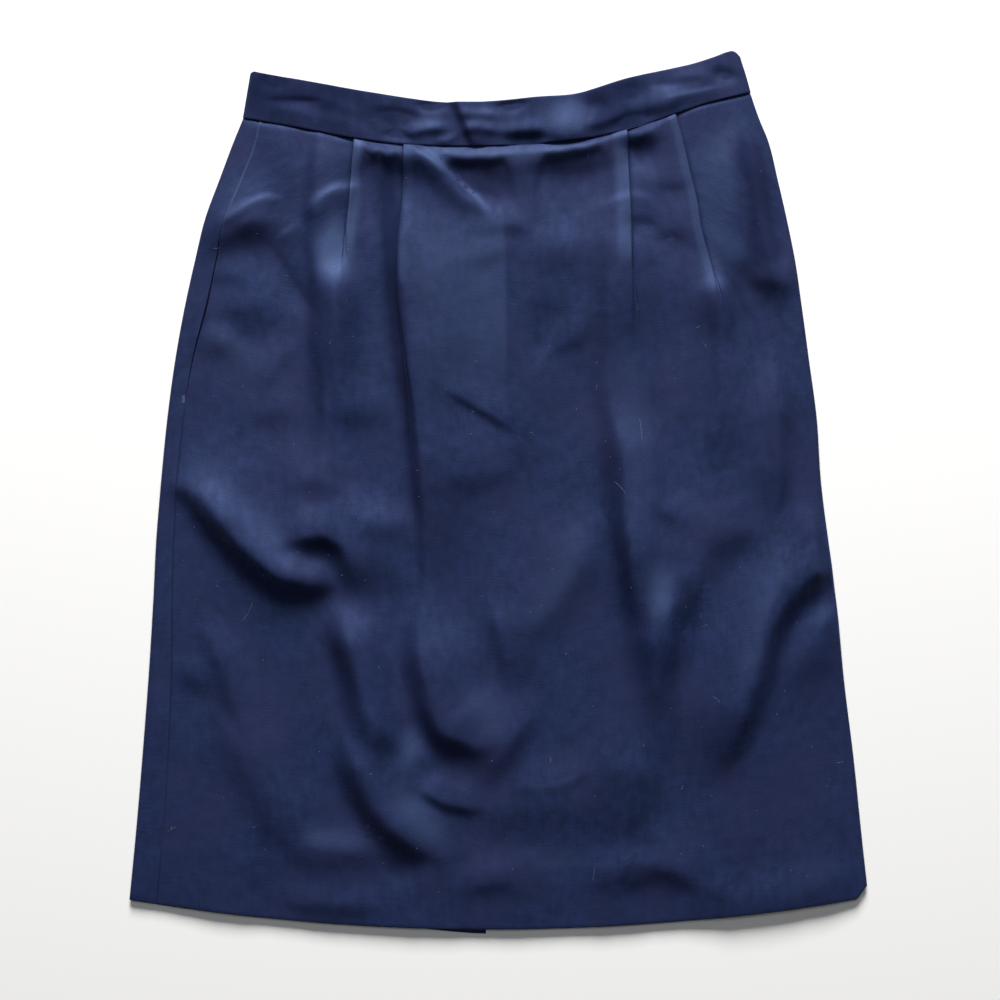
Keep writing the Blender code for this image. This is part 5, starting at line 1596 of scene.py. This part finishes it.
def make_teeth():
    """Bent pins of coil, in turn from the left tape and the right one."""
    lines = []
    first, last = SLIDER_Y - FIRST_TOOTH, BACK_TOP_Y - ZIP_LENGTH + LAST_TOOTH
    for number, y in enumerate(np.arange(first, last, -TOOTH_PITCH)):
        side = 1 if number % 2 else -1
        x, z = centre_back(y), TAPE_Z + closure_rise(centre_back(y), y)
        out = tape_edge(y) - TAPE_EDGE + TOOTH_OUT
        leg = [(out, TOOTH_FOOT), (out * TOOTH_BEND, TOOTH_RISE), (0, TOOTH_RISE)]
        ends = [*leg, (-TOOTH_IN, TOOTH_TIP), *((far, -rise) for far, rise in leg[::-1])]
        lines.append([(x + side * far, y, z + rise) for far, rise in ends])
    return lines


tapes = [
    make_tape("zip_tape_left_weave", -1, tape_weave),
    make_tape("zip_tape_right_weave", 1, tape_weave),
]
teeth = add_tubes("zip_teeth", make_teeth(), TOOTH_RADIUS, coil)

# %% [markdown]
# ## The button
# The button is a turned shape: a profile carried round an axis. Four drilled holes are cut
# out of it with a boolean, and two bars of thread join them. It looks down, because the back
# of the skirt is underneath. The buttonhole is edged with close stitches.

# %% Button, thread and buttonhole
BUTTON_X, BUTTON_UP, BUTTON_SIDES = BACK_TOP_X - 13.0, 16.0, 64
BUTTON_Y = float(waist(BUTTON_X)) + BUTTON_UP
BUTTON_PROFILE = table(
    "radius height",
    [(0.01, 0.75), (3.4, 0.72), (4.2, 0.42), (4.8, 0.22), (5.9, 0.2), (6.8, 0.38), (7.3, 0.75), (7.5, 1.2),
     (7.3, 1.65), (6.8, 2.05), (5.9, 2.33), (3.0, 2.4), (0.01, 2.4)],
)
HOLE_OUT, HOLE_RADIUS, HOLE_SIDES, DRILL_HEIGHTS = 1.35, 0.75, 20, (-1, 1, 4)


def make_button(material):
    """The profile carried round the axis, and four holes drilled through it."""
    turn = np.arange(BUTTON_SIDES) * math.tau / BUTTON_SIDES
    radius, height = BUTTON_PROFILE["radius"][:, None], BUTTON_PROFILE["height"][:, None] + 0 * turn
    x, y = BUTTON_X + radius * np.cos(turn), BUTTON_Y + radius * np.sin(turn)
    points = np.stack([x, y, height], axis=2)
    faces = [face[::-1] for face in loop_faces(*height.shape)]
    piece = add_piece("waist_button_turned", points.reshape(-1, 3), faces, material)
    holes = [(BUTTON_X + i * HOLE_OUT, BUTTON_Y + j * HOLE_OUT) for i in (-1, 1) for j in (-1, 1)]
    paths = [[(x, y, z) for z in DRILL_HEIGHTS] for x, y in holes]
    drills = add_tubes("drills", paths, HOLE_RADIUS, material, HOLE_SIDES)
    cut = piece.modifiers.new("holes", "BOOLEAN")
    cut.operation, cut.object, cut.solver = "DIFFERENCE", drills, "EXACT"
    bpy.context.view_layer.update()
    drilled = bpy.data.meshes.new_from_object(piece.evaluated_get(bpy.context.evaluated_depsgraph_get()))
    piece.modifiers.clear()
    piece.data = drilled
    drilled.shade_smooth()
    drilled.set_sharp_from_angle(angle=SHARP_ANGLE)
    bpy.data.objects.remove(drills)
    return piece, holes


BAR_THREADS, BAR_ROUNDS, BAR_RADIUS, STITCH_RADIUS = (-0.25, 0.0, 0.25), 0.3, 0.17, 0.2
BAR_DEPTHS = (2.2, 0.9, 0.55, 0.55, 0.9, 2.2)
SHANK_THREADS, SHANK_RADIUS, SHANK_DEPTHS = 8, 0.7, (2.3, 3.6, 5.0)


def make_button_thread(holes):
    """Two bars of thread on the button's face, and a shank up to the waistband."""
    lines = []
    for (x, low), (_, high) in (holes[:2], holes[2:]):
        run = (low, low, low + BAR_ROUNDS, high - BAR_ROUNDS, high, high)
        for beside in BAR_THREADS:
            lines.append([(x + beside, y, z) for y, z in zip(run, BAR_DEPTHS, strict=True)])
    for turn in np.arange(SHANK_THREADS) * math.tau / SHANK_THREADS:
        x, y = BUTTON_X + SHANK_RADIUS * math.cos(turn), BUTTON_Y + SHANK_RADIUS * math.sin(turn)
        lines.append([(x, y, z) for z in SHANK_DEPTHS])
    return lines


SLOT_HALF, STITCH_APART, STITCH_OUT, STITCH_PROUD = 9.0, 0.42, (0.25, 1.2, 2.4), 0.08
BAR_ENDS, BAR_BESIDE, BAR_OUT, BAR_PROUD = (-9.3, 9.1), (-0.3, 0.0, 0.3), (-2.4, 0, 2.4), 0.1


def make_buttonhole():
    """Stitches on both sides of the slot, and a bar across each end, on the band's face."""
    stitches = [(x, 0, side, STITCH_OUT, STITCH_PROUD)
                for x in np.arange(-SLOT_HALF, SLOT_HALF, STITCH_APART) for side in (-1, 1)]
    bars = [(x, beside, 1, BAR_OUT, BAR_PROUD) for x in BAR_ENDS for beside in BAR_BESIDE]
    lines = []
    for x, beside, side, reach, proud in stitches + bars:
        low = closure_rise(BUTTON_X + x, BACK_TOP_Y) - proud
        lines.append([(BUTTON_X + x + beside, BUTTON_Y + side * far, low) for far in reach])
    return lines


button, holes = make_button(resin)
button_thread = add_tubes("button_thread", make_button_thread(holes), BAR_RADIUS, thread)
buttonhole = add_tubes("buttonhole_stitches", make_buttonhole(), STITCH_RADIUS, thread)

# %% [markdown]
# ## Lint
# Dark wool shows every pale fibre. The larger ones are listed one by one, and a dusting of
# short ones is put down by chance.

# %% Hairs and specks
HAIRS = table(
    "x y length turn bend",
    [
        (-203, 175, 4.5, 10, 0.1), (64, 241, 2.5, 60, 0.3), (70, 75, 4, 80, 0.4),
        (102, 45, 15, 96, 0.05), (99.5, 133, 5, 100, 0.2), (148, 106, 5, 120, 0.3),
        (143, 118.5, 3, 30, 0.2), (-181, -86, 14, 62, 0.25), (148, -96, 4, 20, 0.4),
        (145, -89, 3, 100, 0.3), (156, -149, 6, 140, 0.2), (37, -193, 4, 95, 0.4),
        (132, -213, 3, 70, 0.2), (68, -275, 10, 84, 0.15), (246, -195, 5, 10, 0.2),
        (-121, 107, 3, 60, 0.2), (87, 3, 12, 132, 0.1), (70, 93, 3, 40, 0.4), (-16, 94, 3, 20, 0.3),
        (24, 42, 3, 150, 0.3), (-237, -243, 5, 55, 0.6), (-234.5, -242, 3.5, 20, 0.5),
        (-90, 267.5, 1.2, 90, 0.3),
    ],
)
DUST_COUNT, DUST_LENGTH, DUST_AREA, DUST_MARGIN = 120, (0.6, 1.8), (-235, 240, -290, 235), 8
LINT_RADIUS, LINT_SIDES, HAIR_POINTS = 0.09, 4, 9


def hair(x, y, length, turn, bend):
    """A fibre that lies on the cloth, bent to one side like a bow."""
    run = np.linspace(-0.5, 0.5, HAIR_POINTS)
    side = bend * length * (run**2 - 0.25)
    angle = math.radians(turn)
    across = x + length * run * math.cos(angle) - side * math.sin(angle)
    along = y + length * run * math.sin(angle) + side * math.cos(angle)
    return lay(zip(across, along, strict=True), LINT_RADIUS)


def make_lint():
    """The listed hairs, and dust wherever chance puts it on the front."""
    lines = [hair(*row) for row in rows_of(HAIRS)]
    for _ in range(DUST_COUNT):
        x, y = chance.uniform(*DUST_AREA[:2]), chance.uniform(*DUST_AREA[2:])
        if left_edge(y) + DUST_MARGIN < x < right_edge(y) - DUST_MARGIN:
            drawn = [chance.uniform(*limits) for limits in (DUST_LENGTH, (0, 180), (-0.5, 0.5))]
            lines.append(hair(x, y, *drawn))
    return lines


lint = add_tubes("lint", make_lint(), LINT_RADIUS, fluff, LINT_SIDES)

# %% [markdown]
# ## What each piece stands for
# Each piece rides on a body of the frame, and takes the place of the solid it was drawn from.

# %% Bodies and solids
PIECES = [  # piece, its slot, and the solid that it replaces
    (front, "navy_wool", "front_panel"),
    (band, "navy_wool", "waistband"),
    (back_left, "navy_wool", "back_left"),
    (back_right, "navy_wool", "back_right"),
    (bag, "pocket_cotton", "pocket_bag"),
    (tapes[0], "zip_tape", "zip_tape_left"),
    (tapes[1], "zip_tape", "zip_tape_right"),
    (button, "button_navy", "waist_button"),
    (tack, "navy_wool", None),
    (teeth, "zip_tape", None),
    (button_thread, "button_navy", None),
    (buttonhole, "navy_wool", None),
    (lint, "navy_wool", None),
]
for piece, slot, node in PIECES:
    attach(piece, "skirt")
    if node:
        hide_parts(node)

for node in ("zip_slider", "zip_pull"):
    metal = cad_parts[node].data.materials
    metal.clear()
    metal.append(lacquer)


# %% [markdown]
# ## Table, light and camera
# The skirt lies on a plain pale table and is seen from straight above. One large soft light
# stands beyond the waist and rakes down the skirt, so that every ridge has a bright upper
# side and a dark lower one. A small light overhead and a weak even sky fill the shadows. The
# table lets light and views through from below, where a last lamp shows the back.

# %% Table
FLOOR_HALF, FLOOR_BELOW = 1500.0, 0.3
floor_material = new_material("pale_table", Base_Color=(0.88, 0.88, 0.88, 1.0), Roughness=0.9)
tree = floor_material.node_tree
behind = add_node(tree, "NewGeometry", {}).outputs["Backfacing"]
shadow = add_node(tree, "LightPath", {}).outputs["Is Shadow Ray"]
clear = add_node(tree, "BsdfTransparent", {}).outputs["BSDF"]
solid = tree.nodes["Principled BSDF"].outputs["BSDF"]
through = calculate(tree, "MAXIMUM", behind, shadow)
mix = add_node(tree, "MixShader", {"Fac": through, 1: solid, 2: clear})
tree.links.new(mix.outputs["Shader"], tree.nodes["Material Output"].inputs["Surface"])
corners = [(x * FLOOR_HALF, y * FLOOR_HALF, -FLOOR_BELOW) for x, y in ((-1, -1), (1, -1), (1, 1), (-1, 1))]
floor = add_piece("table_top", corners, [(0, 1, 2, 3)], floor_material)

# %% Light
LAMPS = [  # name, place and width in metres, power in watts, colour
    ("window", (0.0, 4.0, 2.1), 1.8, 425.0, (1.0, 0.99, 0.97)),
    ("ceiling", (0.0, 0.5, 2.3), 0.8, 9.0, (1.0, 1.0, 1.0)),
    ("below", (0.6, 2.6, -2.4), 1.6, 190.0, (1.0, 1.0, 1.0)),
]
for name, place, size, power, colour in LAMPS:
    light = bpy.data.lights.new(name, "AREA")
    light.size, light.energy, light.color = size, power, colour
    lamp = bpy.data.objects.new(name, light)
    lamp.location = place
    lamp.rotation_euler = (-Vector(place)).to_track_quat("-Z", "Y").to_euler()
    lamp.visible_camera = False
    bpy.context.scene.collection.objects.link(lamp)
SKY_COLOUR, SKY_STRENGTH = (0.9, 0.95, 1.0, 1.0), 0.06
world = bpy.data.worlds.new("room")
world.use_nodes = True
sky = world.node_tree.nodes["Background"].inputs
sky["Color"].default_value, sky["Strength"].default_value = SKY_COLOUR, SKY_STRENGTH
bpy.context.scene.world = world
bpy.context.scene.view_settings.view_transform = "Standard"
print(len(LAMPS), "lamps and a weak sky")

# %% Camera
LENS, SENSOR = 85.0, 36.0
VIEW_WIDTH, VIEW_X, VIEW_Y, FOLD_TOP = 720.0, 0.8, -6.0, 6.0
camera = bpy.data.cameras.new("above")
camera.lens, camera.sensor_width = LENS, SENSOR
viewer = bpy.data.objects.new("above", camera)
viewer.location = Vector((VIEW_X, VIEW_Y, VIEW_WIDTH * LENS / SENSOR + FOLD_TOP)) * MM
bpy.context.scene.collection.objects.link(viewer)
bpy.context.scene.camera = viewer
print(f"the camera looks down from {viewer.location.z:.2f} m")
